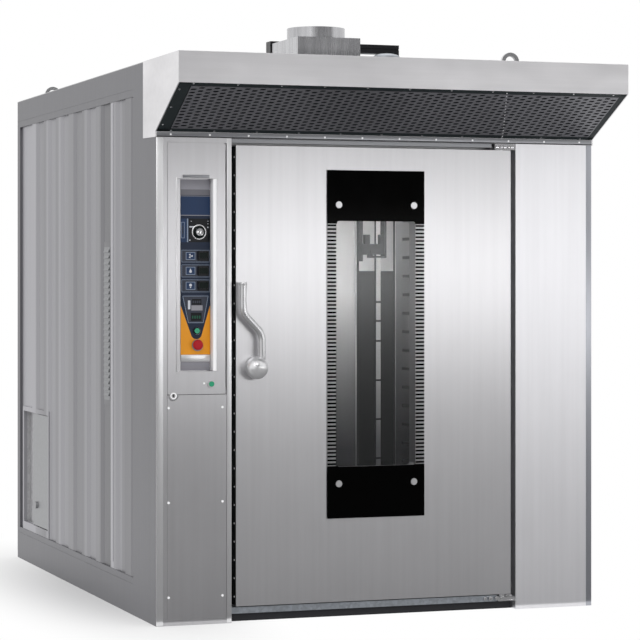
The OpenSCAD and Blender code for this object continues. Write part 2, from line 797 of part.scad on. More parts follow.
// Rear wall with cover strips over its joints and the return opening
module rear_air_wall() place() color("gainsboro") {
    strip_w = 30;
    strip_at = 515;
    seam_at = 420;
    difference() {
        block([wall_x0, chamber_y1, chamber_z0], [wall_x1, chamber_y1 + sheet, chamber_z1]);
        ycyl(chamber_x, chamber_y1 - 1, chamber_y1 + sheet + 1, fan_z, fan_r * 0.7);
    }
    for (side = [-1, 1]) {
        block([chamber_x + side * strip_at - strip_w / 2, chamber_y1 - 12, chamber_z0],
            [chamber_x + side * strip_at + strip_w / 2, chamber_y1, chamber_z1]);
        block([chamber_x + side * seam_at - 5, chamber_y1 - 4, chamber_z0],
            [chamber_x + side * seam_at + 5, chamber_y1, chamber_z1]);
    }
}

module chamber_lamps() place() color("lightyellow") {
    lamp_w = 40;
    lamp_d = 34;
    lamp_h = 1000;
    for (x = [wall_x0 + 6, wall_x1 - 6 - lamp_w])
        block([x, chamber_y0, opening_z0 + 520], [x + lamp_w, chamber_y0 + lamp_d, opening_z0 + 520 + lamp_h]);
}

// ---- Plant room ------------------------------------------------------------------

fan_drop = 275;
fan_z = chamber_z1 - fan_drop;
fan_y0 = plant_y0 + 22;
fan_w = 140;
drum_z = 470;
drum_x0 = 345;
drum_x1 = body_w - 440;
header_w = 110;
bank_z0 = 820;
tube_rows = 3;
tube_cols = 3;
tube_pitch = 110;
exchanger_y0 = plant_cy - 190;
exchanger_y1 = plant_cy + 190;

// Combustion drum, tube bank between two header boxes, and the chimney stub
module heat_exchanger() place() color("darkgray") {
    bank_top = bank_z0 + tube_rows * tube_pitch;
    saddle_w = 300;
    saddle_t = 20;
    tube_r = 38;
    xcyl(drum_x0, drum_x1 + header_w, plant_cy, drum_z, drum_r);
    block([drum_x1, exchanger_y0, drum_z], [drum_x1 + header_w, exchanger_y1, bank_top]);
    block([drum_x0, exchanger_y0, bank_z0 - 60], [drum_x0 + header_w, exchanger_y1, bank_top]);
    for (j = [0:tube_rows - 1], k = [0:tube_cols - 1])
        xcyl(drum_x0 + 20, drum_x1 + 20, plant_cy + (k - (tube_cols - 1) / 2) * tube_pitch,
            bank_z0 + j * tube_pitch, tube_r);
    // Flue with the collar that stands on the roof
    zcyl(chimney_x, plant_cy, bank_top - 5, body_h + chimney_l, flue_r);
    zcyl(chimney_x, plant_cy, body_h, body_h + chimney_l, chimney_r);
    for (x = [drum_x0 + 150, drum_x1 - 100])
        block([x, plant_cy - saddle_w / 2, base_h], [x + saddle_t, plant_cy + saddle_w / 2, drum_z]);
}

bay_x1 = drum_x0 - 2;
burner_z = drum_z;
bay_margin = 6;

// Sheet metal bay behind the hatch
module burner_bay() place() color("lightsteelblue") {
    y0 = hatch_y0 - bay_margin;
    y1 = bay_y1 + bay_margin;
    z0 = hatch_z0 - bay_margin;
    z1 = hatch_z1 + bay_margin;
    plate_x = 34;
    difference() {
        block([frame_t, y0, z0], [bay_x1, y1, z1]);
        block([frame_t - 1, y0 + sheet, z0 + sheet], [bay_x1 - sheet, y1 - sheet, z1 - sheet]);
        xcyl(bay_x1 - sheet - 1, bay_x1 + 1, plant_cy, burner_z, 62);
    }
    // Fixed plate behind the rear half of the hatch opening
    block([plate_x, bay_y1 - bay_plate, z0 + sheet], [plate_x + sheet, y1 - sheet, z1 - sheet]);
    // Posts under the bay
    for (y = [y0 + 20, y1 - 60])
        block([frame_t + 10, y, base_h], [frame_t + rail_w - 10, y + 40, z0]);
}

module burner() place() color("firebrick") {
    body_x0 = 130;
    body_x1 = 265;
    body_y0 = plant_cy - 95;
    body_y1 = plant_cy + 75;
    blower_r = 64;
    blower_z = burner_z - 75;
    blast_r = 59;
    leg_w = 60;
    foot_w = 120;
    foot_t = 8;
    bay_floor = hatch_z0 - bay_margin + sheet;
    block([body_x0, body_y0, burner_z - 70], [body_x1, body_y1, burner_z + 105]);
    ycyl(body_x0 + blower_r + 2, body_y0 - 20, body_y1 + 20, blower_z, blower_r);
    xcyl(body_x1 - 5, drum_x0, plant_cy, burner_z, blast_r);
    block([body_x0 + 40, plant_cy - leg_w / 2, bay_floor], [body_x0 + 90, plant_cy + leg_w / 2, blower_z - 25]);
    block([body_x0 + 10, plant_cy - foot_w / 2, bay_floor],
        [body_x1 - 10, plant_cy + foot_w / 2, bay_floor + foot_t]);
}

// Cast bars on a rack, where water flashes to steam
module steam_generator() place() color("dimgray") {
    rack_w = 200;
    rack_d = 600;
    on_rail = 20;
    post = 30;
    tray_t = 30;
    tray_wall = 10;
    trays = 7;
    tray_pitch = 170;
    tray_z = base_h + 364;
    top = tray_z + tray_t + (trays - 1) * tray_pitch + 50;
    x1 = body_w - frame_t - rail_w + on_rail;
    x0 = x1 - rack_w;
    y1 = plant_cy + 175;
    y0 = y1 - rack_d;
    for (x = [x0, x1 - post], y = [y0, y1 - post])
        block([x, y, base_h], [x + post, y + post, top]);
    for (i = [0:trays - 1])
        translate([0, 0, tray_z + i * tray_pitch]) difference() {
            block([x0, y0, 0], [x1, y1, tray_t]);
            block([x0 + post, y0 + post, tray_wall], [x1 - post, y1 - post, tray_t + 1]);
        }
}

fan_shaft_r = 19;
motor_front = 2330;

module fan_motor() place() color("steelblue") {
    plate_t = 42;
    plate_half = 150;
    body_r = 120;
    bore_l = 80;
    plate_y = body_d - sheet - plate_t;
    difference() {
        union() {
            ycyl(chamber_x, motor_front, plate_y, fan_z, body_r);
            block([chamber_x - plate_half, plate_y, fan_z - plate_half],
                [chamber_x + plate_half, body_d - sheet, fan_z + plate_half]);
        }
        ycyl(chamber_x, motor_front - 1, motor_front + bore_l, fan_z, fan_shaft_r + run_gap);
    }
}

// Backward curved blades between a back plate and a front ring
module fan_wheel() place() color("silver") {
    plate_t = 5;
    y1 = fan_y0 + fan_w;
    difference() {
        ycyl(chamber_x, fan_y0, fan_y0 + plate_t, fan_z, fan_r);
        ycyl(chamber_x, fan_y0 - 1, fan_y0 + plate_t + 1, fan_z, fan_r * 0.62);
    }
    ycyl(chamber_x, y1 - plate_t, y1, fan_z, fan_r);
    ycyl(chamber_x, y1 - plate_t - 50, y1 + 30, fan_z, 40);
    ycyl(chamber_x, y1, motor_front + 70, fan_z, fan_shaft_r);
    for (k = [0:fan_blades - 1])
        translate([chamber_x, fan_y0 + plate_t - 1, fan_z]) rotate([0, k * 360 / fan_blades, 0])
            translate([fan_r * 0.64, 0, 0]) rotate([0, 35, 0])
                cube([fan_r * 0.34, fan_w - 2 * plate_t + 2, 4]);
}

// ---- Door ----------------------------------------------------------------------------

glass_x0 = door_x + glass_x;
glass_x1 = glass_x0 + glass_w;
glass_z0 = door_z + glass_z;
glass_z1 = door_z + door_h - glass_top;
view_x0 = glass_x0 + glass_band;
view_x1 = glass_x1 - glass_band;
view_z0 = glass_z0 + glass_end - 4;
view_z1 = glass_z1 - glass_end + 4;
view_r = 15;
boss_cx = door_x + boss_x;
spindle_r = 8;
cam_len = 95;
pocket_y0 = door_t - 34;
door_top = door_z + door_h;
liner_in = 6;

module door_pocket() {
    block([door_x - 1, pocket_y0, boss_z - 26], [boss_cx + 26, door_t + 1, boss_z + cam_len + 10]);
}

module pivot_bores() {
    zcyl(pivot_x, pivot_y, door_z - 1, door_z + 34, pivot_r + run_gap);
    zcyl(pivot_x, pivot_y, door_top - 34, door_top + 1, pivot_r + run_gap);
}

module disc_bores(r, y0, y1) {
    inset = 50;
    for (x = [glass_x0 + inset, glass_x1 - inset], z = [glass_z0 + 145, glass_z1 - 145])
        ycyl(x, y0, y1, z, r);
}

// Front skin with folded edges
module door_shell() place() color("silver") difference() {
    block([door_x, 0, door_z], [door_x + door_w, door_t, door_top]);
    block([door_x + liner_in, sheet, door_z + liner_in],
        [door_x + door_w - 2 * pivot_in, door_t + 1, door_top - liner_in]);
    rounded_window(view_x0, view_x1, view_z0, view_z1, view_r, -1, door_t);
    door_pocket();
    pivot_bores();
    ycyl(boss_cx, -1, sheet + 1, boss_z, spindle_r + run_gap);
    disc_bores(5, -1, sheet + 1);
}

// Insulated inner pan that fills the skin, with the window's tunnel
module door_liner() place() color("gainsboro") difference() {
    block([door_x + liner_in, sheet, door_z + liner_in],
        [door_x + door_w - 2 * pivot_in, door_t, door_top - liner_in]);
    rounded_window(view_x0, view_x1, view_z0, view_z1, view_r, sheet - 1, door_t + 1);
    block([view_x0 - 20, door_t - glass_t, view_z0 - 20], [view_x1 + 20, door_t + 1, view_z1 + 20]);
    door_pocket();
    ycyl(boss_cx, sheet - 1, door_t, boss_z, spindle_r + run_gap);
    disc_bores(5, sheet - 1, 32);
}

module door_seal() place() color("black") {
    seal_w = 18;
    difference() {
        block([opening_x0 - 3 - seal_w, door_t, opening_z0 + 3],
            [opening_x1 + 3 + seal_w, door_t + seal_t, opening_z1 + 3 + seal_w]);
        block([opening_x0 - 3, door_t - 1, opening_z0 + 3 + seal_w],
            [opening_x1 + 3, door_t + seal_t + 1, opening_z1 + 3]);
    }
}

module outer_glass() place() color("black", 0.6) difference() {
    block([glass_x0, -glass_t, glass_z0], [glass_x1, 0, glass_z1]);
    disc_bores(5, -glass_t - 1, 1);
}

module inner_glass() place() color("lightblue", 0.4)
    block([view_x0 - 20, door_t - glass_t, view_z0 - 20], [view_x1 + 20, door_t, view_z1 + 20]);

module window_discs() place() color("silver") {
    disc_bores(disc_r, -glass_t - 7, -glass_t);
    disc_bores(5, -glass_t, 30);
}

// Round tube along a path in the XZ plane, with bends of radius bend_r
function unit(v) = v / norm(v);
function turn_angle(a, b) = atan2(a[0] * b[1] - a[1] * b[0], a[0] * b[0] + a[1] * b[1]);

// Points of one bend at corner p, between the directions u and v
function bend_points(p, u, v, bend_r, steps) = let (
    a = turn_angle(u, v),
    start = p - u * bend_r * tan(abs(a) / 2),
    side = (a > 0 ? 1 : -1) * [-u[1], u[0]],
    centre = start + side * bend_r)
    [for (k = [0:steps]) let (b = a * k / steps)
        centre + bend_r * [-side[0] * cos(b) + side[1] * sin(b), -side[0] * sin(b) - side[1] * cos(b)]];

function smooth_path(path, bend_r, steps) = let (n = len(path)) concat([path[0]],
    [for (i = [1:n - 2]) each bend_points(path[i], unit(path[i] - path[i - 1]),
        unit(path[i + 1] - path[i]), bend_r, steps)], [path[n - 1]]);

module swept_tube(path, r, sides) {
    n = len(path);
    rings = [for (i = [0:n - 1]) let (
        t = unit(path[min(i + 1, n - 1)] - path[max(i - 1, 0)]))
        each [for (k = [0:sides - 1]) let (a = 360 * k / sides)
            [path[i][0] - t[1] * r * cos(a), r * sin(a), path[i][1] + t[0] * r * cos(a)]]];
    walls = [for (i = [0:n - 2], k = [0:sides - 1]) let (m = (k + 1) % sides)
        each [[i * sides + k, (i + 1) * sides + k, i * sides + m],
            [i * sides + m, (i + 1) * sides + k, (i + 1) * sides + m]]];
    first = [for (k = [sides - 1:-1:0]) k];
    last = [for (k = [0:sides - 1]) (n - 1) * sides + k];
    polyhedron(rings, concat(walls, [first, last]));
}

// Lever bent from round tube, with a domed boss and an end cap
module door_handle() place() color("silver") {
    knee_z = 0.61 * lever_h;
    elbow = [27, 0.41 * lever_h];
    lower = [31, 0.2 * lever_h];
    path = [[-lever_in, lever_h], [-lever_in, knee_z], elbow, lower, [4, 6]];
    crown_r = boss_r - 6;
    crown_h = 6;
    flange_t = 26;
    boss_out = tube_out + tube_r + 2;
    translate([boss_cx, -tube_out, boss_z]) {
        swept_tube(smooth_path(path, 36, 7), tube_r, 24);
        translate([-lever_in, 0, lever_h]) cylinder(h = 12, r = tube_r + 2.5);
    }
    // Boss with its foot flange and crowned face
    ycyl(boss_cx, -boss_out, -rest_gap, boss_z, crown_r);
    ycyl(boss_cx, -flange_t, -rest_gap, boss_z, boss_r);
    translate([boss_cx, -boss_out, boss_z]) rotate([90, 0, 0])
        cylinder(h = crown_h, r1 = crown_r, r2 = crown_r - 2 * crown_h);
}

// Spindle through the door and the cam at its end
module latch_cam() place() color("gray") {
    cam_y0 = pocket_y0 + 10;
    cam_t = 8;
    ycyl(boss_cx, -rest_gap, cam_y0 + cam_t, boss_z, spindle_r);
    ycyl(boss_cx, cam_y0, cam_y0 + cam_t, boss_z, 16);
    block([boss_cx - cam_len, cam_y0, boss_z - 11], [boss_cx, cam_y0 + cam_t, boss_z + 11]);
}

// Rest for the cam, on the cabinet's side
module latch_keeper() place() color("silver") {
    cam_y1 = pocket_y0 + 18;
    block([cabinet_w, cam_y1 + 3, boss_z - 32], [cabinet_w + sheet, jamb_y, boss_z + 32]);
    block([cabinet_w, cam_y1 + 3, boss_z - 24], [cabinet_w + latch_gap - 3, cam_y1 + 9, boss_z + 24]);
}

// Fixed hinge brackets with the door's pins
module hinge_brackets() place() color("silver") {
    arm = 28;
    gap = 2;
    front = 6;
    reach = 40;
    foot = 24;
    pin_len = 30;
    boss = pivot_r + 9;
    // Upper bracket under the header
    block([pivot_x - reach, front, door_top + gap], [column_x, pivot_y + arm, header_z]);
    zcyl(pivot_x, pivot_y, door_top - pin_len, door_top + gap, pivot_r);
    // Lower bracket on the base rail and the column's side
    block([pivot_x - foot, front, base_h], [column_x, pivot_y + arm, door_z - gap - 12]);
    zcyl(pivot_x, pivot_y, base_h, door_z - gap, boss);
    zcyl(pivot_x, pivot_y, door_z - gap, door_z + pin_len, pivot_r);
}

// ---- Control cabinet --------------------------------------------------------------------

lock_x = 72;
lock_z = 932;
lock_r = 9;
lug_r = 18;
service_t = sheet - rest_gap;
seam_gap = 1;
film_y = recess_d - 2;
film_x0 = recess_x + 30;
film_x1 = recess_x + recess_w - 20;
film_cx = (film_x0 + film_x1) / 2;
button_x = recess_x + 97;
knob_x = recess_x + 107;
rocker_x = recess_x + 124;
start_z = recess_z + 166;
stop_z = recess_z + 109;
knob_z = recess_z + 569;
rocker_z = [recess_z + 474, recess_z + 411, recess_z + 352];
column_button_x = 232;
column_button_z = 978;

module access_panel() place() color("silver") difference() {
    block([panel_x0 + seam_gap, 0, panel_bottom + seam_gap], [panel_x1 - seam_gap, sheet, seam_z - seam_gap]);
    ycyl(lock_x, -1, sheet + 1, lock_z, lug_r + panel_gap);
}

module service_panel() place() color("silver") {
    hem = 14;
    hem_z0 = seam_z + knuckle_in + knuckle_l + rest_gap;
    hem_z1 = panel_top - knuckle_in - knuckle_l - rest_gap;
    difference() {
        union() {
            block([panel_x0 + panel_gap, 0, seam_z + seam_gap], [service_x1, service_t, panel_top - panel_gap]);
            ycyl(lock_x, 0, service_t, lock_z, lug_r);
            // Folded edge on the hinge side
            block([service_x1 - sheet, 0, hem_z0], [service_x1, hem, hem_z1]);
            zcyl(knuckle_x, knuckle_y, hem_z0, hem_z0 + knuckle_l, knuckle_r);
            zcyl(knuckle_x, knuckle_y, hem_z1 - knuckle_l, hem_z1, knuckle_r);
        }
        zcyl(knuckle_x, knuckle_y, hem_z0 - 1, hem_z0 + knuckle_l + 1, knuckle_pin_r + run_gap);
        zcyl(knuckle_x, knuckle_y, hem_z1 - knuckle_l - 1, hem_z1 + 1, knuckle_pin_r + run_gap);
        block([recess_x, -1, recess_z], [recess_x + recess_w, sheet, recess_z + recess_h]);
        ycyl(lock_x, -1, sheet, lock_z, lock_r + run_gap);
        ycyl(column_button_x, -1, sheet, column_button_z, 6 + run_gap);
    }
    // Bezel of the button on the panel
    difference() {
        ycyl(column_button_x, -6, 0, column_button_z, button_r + 4);
        ycyl(column_button_x, -7, 1, column_button_z, button_r + 0.2);
    }
}

// Recessed pan that carries the controls
module control_recess() place() color("silver") difference() {
    wall = 2;
    block([recess_x, 0, recess_z], [recess_x + recess_w, recess_d + wall, recess_z + recess_h]);
    block([recess_x + wall, -1, recess_z + wall],
        [recess_x + recess_w - wall, recess_d, recess_z + recess_h - wall]);
    control_holes(recess_d - 1, recess_d + wall + 1);
}

module control_holes(y0, y1) {
    ycyl(button_x, y0, y1, start_z, 5 + run_gap);
    ycyl(button_x, y0, y1, stop_z, 11 + run_gap);
    ycyl(knob_x, y0, y1, knob_z, 3 + run_gap);
}

rocker_w = 36;
rocker_h = 22;
rocker_y = film_y - 8;
trunnion_r = 1.5;

module rocker_frame(z) difference() {
    rim = 4;
    block([rocker_x - rocker_w / 2 - rim, rocker_y - 3, z - rocker_h / 2 - rim - 2],
        [rocker_x + rocker_w / 2 + rim, film_y, z + rocker_h / 2 + rim + 2]);
    block([rocker_x - rocker_w / 2 - 0.5, rocker_y - 4, z - rocker_h / 2 - 2],
        [rocker_x + rocker_w / 2 + 0.5, film_y + 1, z + rocker_h / 2 + 2]);
    xcyl(rocker_x - rocker_w / 2 - 3, rocker_x + rocker_w / 2 + 3, rocker_y, z, trunnion_r + run_gap);
}

// Printed film with the frames and collars of the controls
module control_overlay() place() color("steelblue") {
    difference() {
        block([film_x0, film_y, recess_z + 4], [film_x1, recess_d, recess_z + recess_h - 18]);
        control_holes(film_y - 1, recess_d + 1);
    }
    for (z = rocker_z) rocker_frame(z);
    for (ring = [[start_z, button_r + 3.5, button_r + 0.2, 6], [stop_z, 16, 11 + 0.3, 7]])
        difference() {
            ycyl(button_x, film_y - ring[3], film_y, ring[0], ring[1]);
            ycyl(button_x, film_y - ring[3] - 1, film_y + 1, ring[0], ring[2]);
        }
}

module rocker(z) {
    tilt_room = 3;
    block([rocker_x - rocker_w / 2, rocker_y - tilt_room, z - rocker_h / 2],
        [rocker_x + rocker_w / 2, rocker_y + tilt_room, z + rocker_h / 2]);
    xcyl(rocker_x - rocker_w / 2 - 2.5, rocker_x + rocker_w / 2 + 2.5, rocker_y, z, trunnion_r);
}

module rocker_upper() place() color("black") rocker(rocker_z[0]);
module rocker_middle() place() color("black") rocker(rocker_z[1]);
module rocker_lower() place() color("black") rocker(rocker_z[2]);

module timer_knob() place() color("silver") {
    grip = 12;
    skirt_y = film_y - 0.3;
    ycyl(knob_x, skirt_y - 6, skirt_y, knob_z, knob_r);
    difference() {
        ycyl(knob_x, skirt_y - 21, skirt_y - 6, knob_z, knob_r - 4);
        // Flats that leave a finger grip
        for (side = [-1, 1])
            translate([knob_x, skirt_y - 15, knob_z + side * (grip + 6)])
                cube([2 * knob_r, 13, 12], center = true);
    }
    ycyl(knob_x, skirt_y, recess_d + 12, knob_z, 3);
}

module start_button() place() color("green") {
    ycyl(button_x, film_y - 9, film_y - 4.5, start_z, button_r);
    ycyl(button_x, film_y - 4.5, recess_d + 14, start_z, 5);
}

module emergency_stop() place() color("red") {
    head_y = film_y - 27;
    translate([button_x, head_y + 12, stop_z]) rotate([90, 0, 0]) rotate_extrude()
        polygon([[0, 0], [stop_r - 3, 0], [stop_r, 3], [stop_r, 7], [stop_r - 3, 10.5],
            [stop_r - 9, 12], [0, 12.5]]);
    ycyl(button_x, head_y + 12, recess_d + 14, stop_z, 11);
}

module column_button() place() color("green") {
    ycyl(column_button_x, -9, -4, column_button_z, button_r);
    ycyl(column_button_x, -4, 20, column_button_z, 6);
}

// Quarter turn lock with a slotted head and a cam behind the panel
module panel_lock() place() color("silver") {
    head_r = 13;
    head_t = 3;
    slot_half = 8;
    cam_half = 6;
    cam_y = 19;
    cam_t = 3;
    difference() {
        ycyl(lock_x, -head_t, -rest_gap, lock_z, head_r);
        block([lock_x - 2, -head_t - 1, lock_z - slot_half], [lock_x + 2, -head_t / 2, lock_z + slot_half]);
    }
    ycyl(lock_x, -rest_gap, cam_y + cam_t, lock_z, lock_r);
    block([lock_x - cam_half, cam_y, lock_z - cam_half], [lock_x + cam_half, cam_y + cam_t, lock_z + 24]);
}

module burner_hatch() place() color("lightslategray") {
    edge = 3;
    leaf_x = hatch_pin_x - 1.5;
    grip_y = hatch_y0 + hatch_l - 88;
    grip_z = hatch_z0 + 104;
    grip_r = 17;
    block([leaf_x, hatch_y0 + edge, hatch_z0 + edge], [leaf_x + 3, hatch_y0 + hatch_l, hatch_z1 - edge]);
    zcyl(hatch_pin_x, hatch_pin_y, hatch_z0 - 9, hatch_z1 + 9, hatch_pin_r);
    xcyl(-4, leaf_x, grip_y, grip_z, grip_r);
}

module casing_screws() place() color("silver") {
    head_r = 5;
    head_t = 2;
    low = panel_bottom + 93;
    high = seam_z - 53;
    for (x = [corner_w + 6, panel_x1 - 18], z = [low, (low + high) / 2, high])
        ycyl(x, -head_t, 0, z, head_r);
    for (i = [0:11]) ycyl(60 + i * (body_w - 120) / 11, -sheet - head_t, -sheet, header_z + lip_h / 2, head_r - 1);
}

base_frame();
floor_pan();
door_sill();
control_cabinet();
right_column();
front_header();
door_jamb();
hood_shell();
hood_grille();
casing_screws();
side_frames();
left_side_panel();
right_side_panel();
louvre_panel();
rear_panel();
roof_panel();
chamber_lining();
insulation();
side_air_ducts();
rear_air_wall();
chamber_lamps();
heat_exchanger();
burner_bay();
burner();
steam_generator();
fan_motor();
fan_wheel();
vapour_outlet();
vapour_flap();
drive_bridge();
gear_motor();
motor_pulley();
drive_belt();
top_bearing();
rotor_shaft();
rack_hook();
lifting_eyes();
hinge_brackets();
latch_keeper();
access_panel();
door_shell();
door_liner();
door_seal();
outer_glass();
inner_glass();
window_discs();
door_handle();
latch_cam();
service_panel();
control_recess();
control_overlay();
timer_knob();
rocker_upper();
rocker_middle();
rocker_lower();
start_button();
emergency_stop();
column_button();
panel_lock();
burner_hatch();
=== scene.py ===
"""Looks of a rotating rack oven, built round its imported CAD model.

Sizes are in millimetres to the right of the casing's left side, behind its front face and above
the floor, unless a line says metres. TO_MODEL turns them into the model's metres.
"""

import json
import logging
import math
from collections.abc import Sequence
from dataclasses import dataclass, field
from enum import Enum
from typing import Any

import bmesh
import bpy
from mathutils import Matrix, Vector

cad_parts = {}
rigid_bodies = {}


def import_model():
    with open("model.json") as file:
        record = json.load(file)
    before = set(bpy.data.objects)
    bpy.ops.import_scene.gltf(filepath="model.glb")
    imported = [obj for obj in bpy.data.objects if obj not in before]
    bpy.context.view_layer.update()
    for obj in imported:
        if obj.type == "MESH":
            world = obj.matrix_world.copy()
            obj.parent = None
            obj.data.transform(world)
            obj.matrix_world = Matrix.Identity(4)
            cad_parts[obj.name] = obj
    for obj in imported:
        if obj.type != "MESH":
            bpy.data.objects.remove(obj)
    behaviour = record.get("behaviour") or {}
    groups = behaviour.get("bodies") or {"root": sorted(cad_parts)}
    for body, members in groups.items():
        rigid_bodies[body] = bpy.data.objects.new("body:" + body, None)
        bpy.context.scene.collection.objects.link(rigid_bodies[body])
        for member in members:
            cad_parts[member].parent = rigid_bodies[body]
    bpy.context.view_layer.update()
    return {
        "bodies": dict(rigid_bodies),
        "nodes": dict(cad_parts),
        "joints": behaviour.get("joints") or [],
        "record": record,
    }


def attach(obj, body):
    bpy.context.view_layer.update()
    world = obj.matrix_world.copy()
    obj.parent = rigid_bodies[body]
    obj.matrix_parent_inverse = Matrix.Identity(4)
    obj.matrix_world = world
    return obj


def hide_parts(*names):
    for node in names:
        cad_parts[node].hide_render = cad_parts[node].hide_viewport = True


LOG = logging.getLogger("rack_oven")
Colour = tuple[float, float, float]
Point = tuple[float, float, float]
Flat = tuple[float, float]

CASING_W = 1940.0
CASING_D = 2620.0
CASING_FRONT = 1137.5
MM = 0.001
TO_MODEL = Matrix.Translation((-CASING_W / 2 * MM, -CASING_FRONT * MM, 0.0)) @ Matrix.Scale(MM, 4)
FORWARD: Point = (0.0, -1.0, 0.0)


# ---- Shaders --------------------------------------------------------------------------------


class Value:
    """A node's output that takes part in Python expressions."""

    def __init__(self, shader: "Shader", out: bpy.types.NodeSocket) -> None:
        """Keeps the shader whose tree the node is in, and the node's output."""
        self.shader = shader
        self.out = out

    def _maths(self, operation: str, first: Any, second: Any) -> "Value":
        """One Math node on two numbers or Values."""
        return self.shader.node("ShaderNodeMath", {"operation": operation}, {0: first, 1: second})

    def __add__(self, other: Any) -> "Value":
        """Self plus other."""
        return self._maths("ADD", self, other)

    def __sub__(self, other: Any) -> "Value":
        """Self minus other."""
        return self._maths("SUBTRACT", self, other)

    def __rsub__(self, other: Any) -> "Value":
        """Other minus self."""
        return self._maths("SUBTRACT", other, self)

    def __mul__(self, other: Any) -> "Value":
        """Self times other."""
        return self._maths("MULTIPLY", self, other)

    __radd__ = __add__
    __rmul__ = __mul__

    def most(self, other: Any) -> "Value":
        """The larger of self and other."""
        return self._maths("MAXIMUM", self, other)


class Shader:
    """The node tree of a material or of the world, filled by short calls."""

    def __init__(self, name: str, world: bool = False) -> None:
        """Starts an empty tree.

        Args:
            name: the name of the material or world.
            world: makes a world.
        """
        self.owner = (bpy.data.worlds if world else bpy.data.materials).new(name)
        self.owner.use_nodes = True
        self.tree = self.owner.node_tree
        self.tree.nodes.clear()
        self.output = self.tree.nodes.new("ShaderNodeOutputWorld" if world else "ShaderNodeOutputMaterial")

    def node(self, kind: str, settings: dict[str, Any] | None = None,
             inputs: dict[Any, Any] | None = None, out: int = 0) -> Value:
        """Makes one node.

        Args:
            kind: the node's type.
            settings: its properties; "stops" fills a colour ramp.
            inputs: values or Values by socket name or number.
            out: which output is returned.

        Returns:
            The chosen output.
        """
        made = self.tree.nodes.new(kind)
        for key, value in (settings or {}).items():
            if key == "stops":
                ramp = made.color_ramp
                while len(ramp.elements) < len(value):
                    ramp.elements.new(0.5)
                for element, (spot, tone) in zip(ramp.elements, value):
                    element.position = spot
                    element.color = (*tone, 1.0)
            else:
                setattr(made, key, value)
        for key, value in (inputs or {}).items():
            if isinstance(value, Value):
                self.tree.links.new(value.out, made.inputs[key])
            elif isinstance(value, tuple) and made.inputs[key].type == "RGBA":
                made.inputs[key].default_value = (*value, 1.0)
            else:
                made.inputs[key].default_value = value
        return Value(self, made.outputs[out])

    def spot(self, scale: Point = (1.0, 1.0, 1.0)) -> Value:
        """The object's own coordinates, stretched by scale."""
        place = self.node("ShaderNodeTexCoord", out=3)
        return self.node("ShaderNodeMapping", {}, {"Vector": place, "Scale": scale})

    def along(self, axis: int, low: float, high: float) -> Value:
        """0 to 1 between two places in metres on axis 0, 1 or 2."""
        place = self.node("ShaderNodeSeparateXYZ", {}, {0: self.spot()}, axis)
        return self.node("ShaderNodeMapRange", {}, {"Value": place, "From Min": low, "From Max": high})

    def noise(self, scale: Point, detail: float = 2.0) -> Value:
        """Cloudy noise from 0 to 1, with a scale for each direction in clouds a metre."""
        return self.node("ShaderNodeTexNoise", {},
                         {"Vector": self.spot(scale), "Scale": 1.0, "Detail": detail})

    def mix(self, share: Any, first: Any, second: Any) -> Value:
        """A colour between first and second."""
        return self.node("ShaderNodeMix", {"data_type": "RGBA"}, {0: share, 6: first, 7: second}, 2)

    def multiply(self, first: Any, second: Any) -> Value:
        """The product of two colours."""
        return self.node("ShaderNodeMix", {"data_type": "RGBA", "blend_type": "MULTIPLY"},
                         {0: 1.0, 6: first, 7: second}, 2)

    def bump(self, height: Value) -> Value:
        """A normal from a height in metres."""
        return self.node("ShaderNodeBump", {}, {"Height": height, "Distance": 1.0, "Strength": 1.0})

    def looked_at(self) -> Value:
        """1 for the eye, a mirror or a pane that looks this way, else 0."""
        eye, mirror, pane = (self.node("ShaderNodeLightPath", out=number) for number in (0, 3, 6))
        return eye.most(mirror).most(pane)

    def end(self, made: Value) -> Any:
        """Ends the tree in a surface or background, and returns its material or world."""
        self.tree.links.new(made.out, self.output.inputs["Surface"])
        return self.owner

    def surface(self, **inputs: Any) -> bpy.types.Material:
        """Ends the tree in a principled surface; a socket is named with _ for each space."""
        named = {key.replace("_", " "): value for key, value in inputs.items()}
        return self.end(self.node("ShaderNodeBsdfPrincipled", {}, named))


def shade(tone: Colour, by: float) -> Colour:
    """A colour made lighter or darker by a factor."""
    return tuple(min(1.0, part * by) for part in tone)


class Grain(Enum):
    """Which way a sheet is brushed, as a squeeze of the noise in X, Y and Z."""

    UPRIGHT = (1.0, 1.0, 0.02)
    ACROSS = (0.02, 0.6, 1.0)
    LENGTHWAYS = (0.6, 0.02, 1.0)


@dataclass(frozen=True)
class Finish:
    """What every finish has: a name, the record's slot and a colour."""

    name: str
    slot: str
    tone: Colour

    def make(self) -> bpy.types.Material:
        """Builds the material."""
        raise NotImplementedError


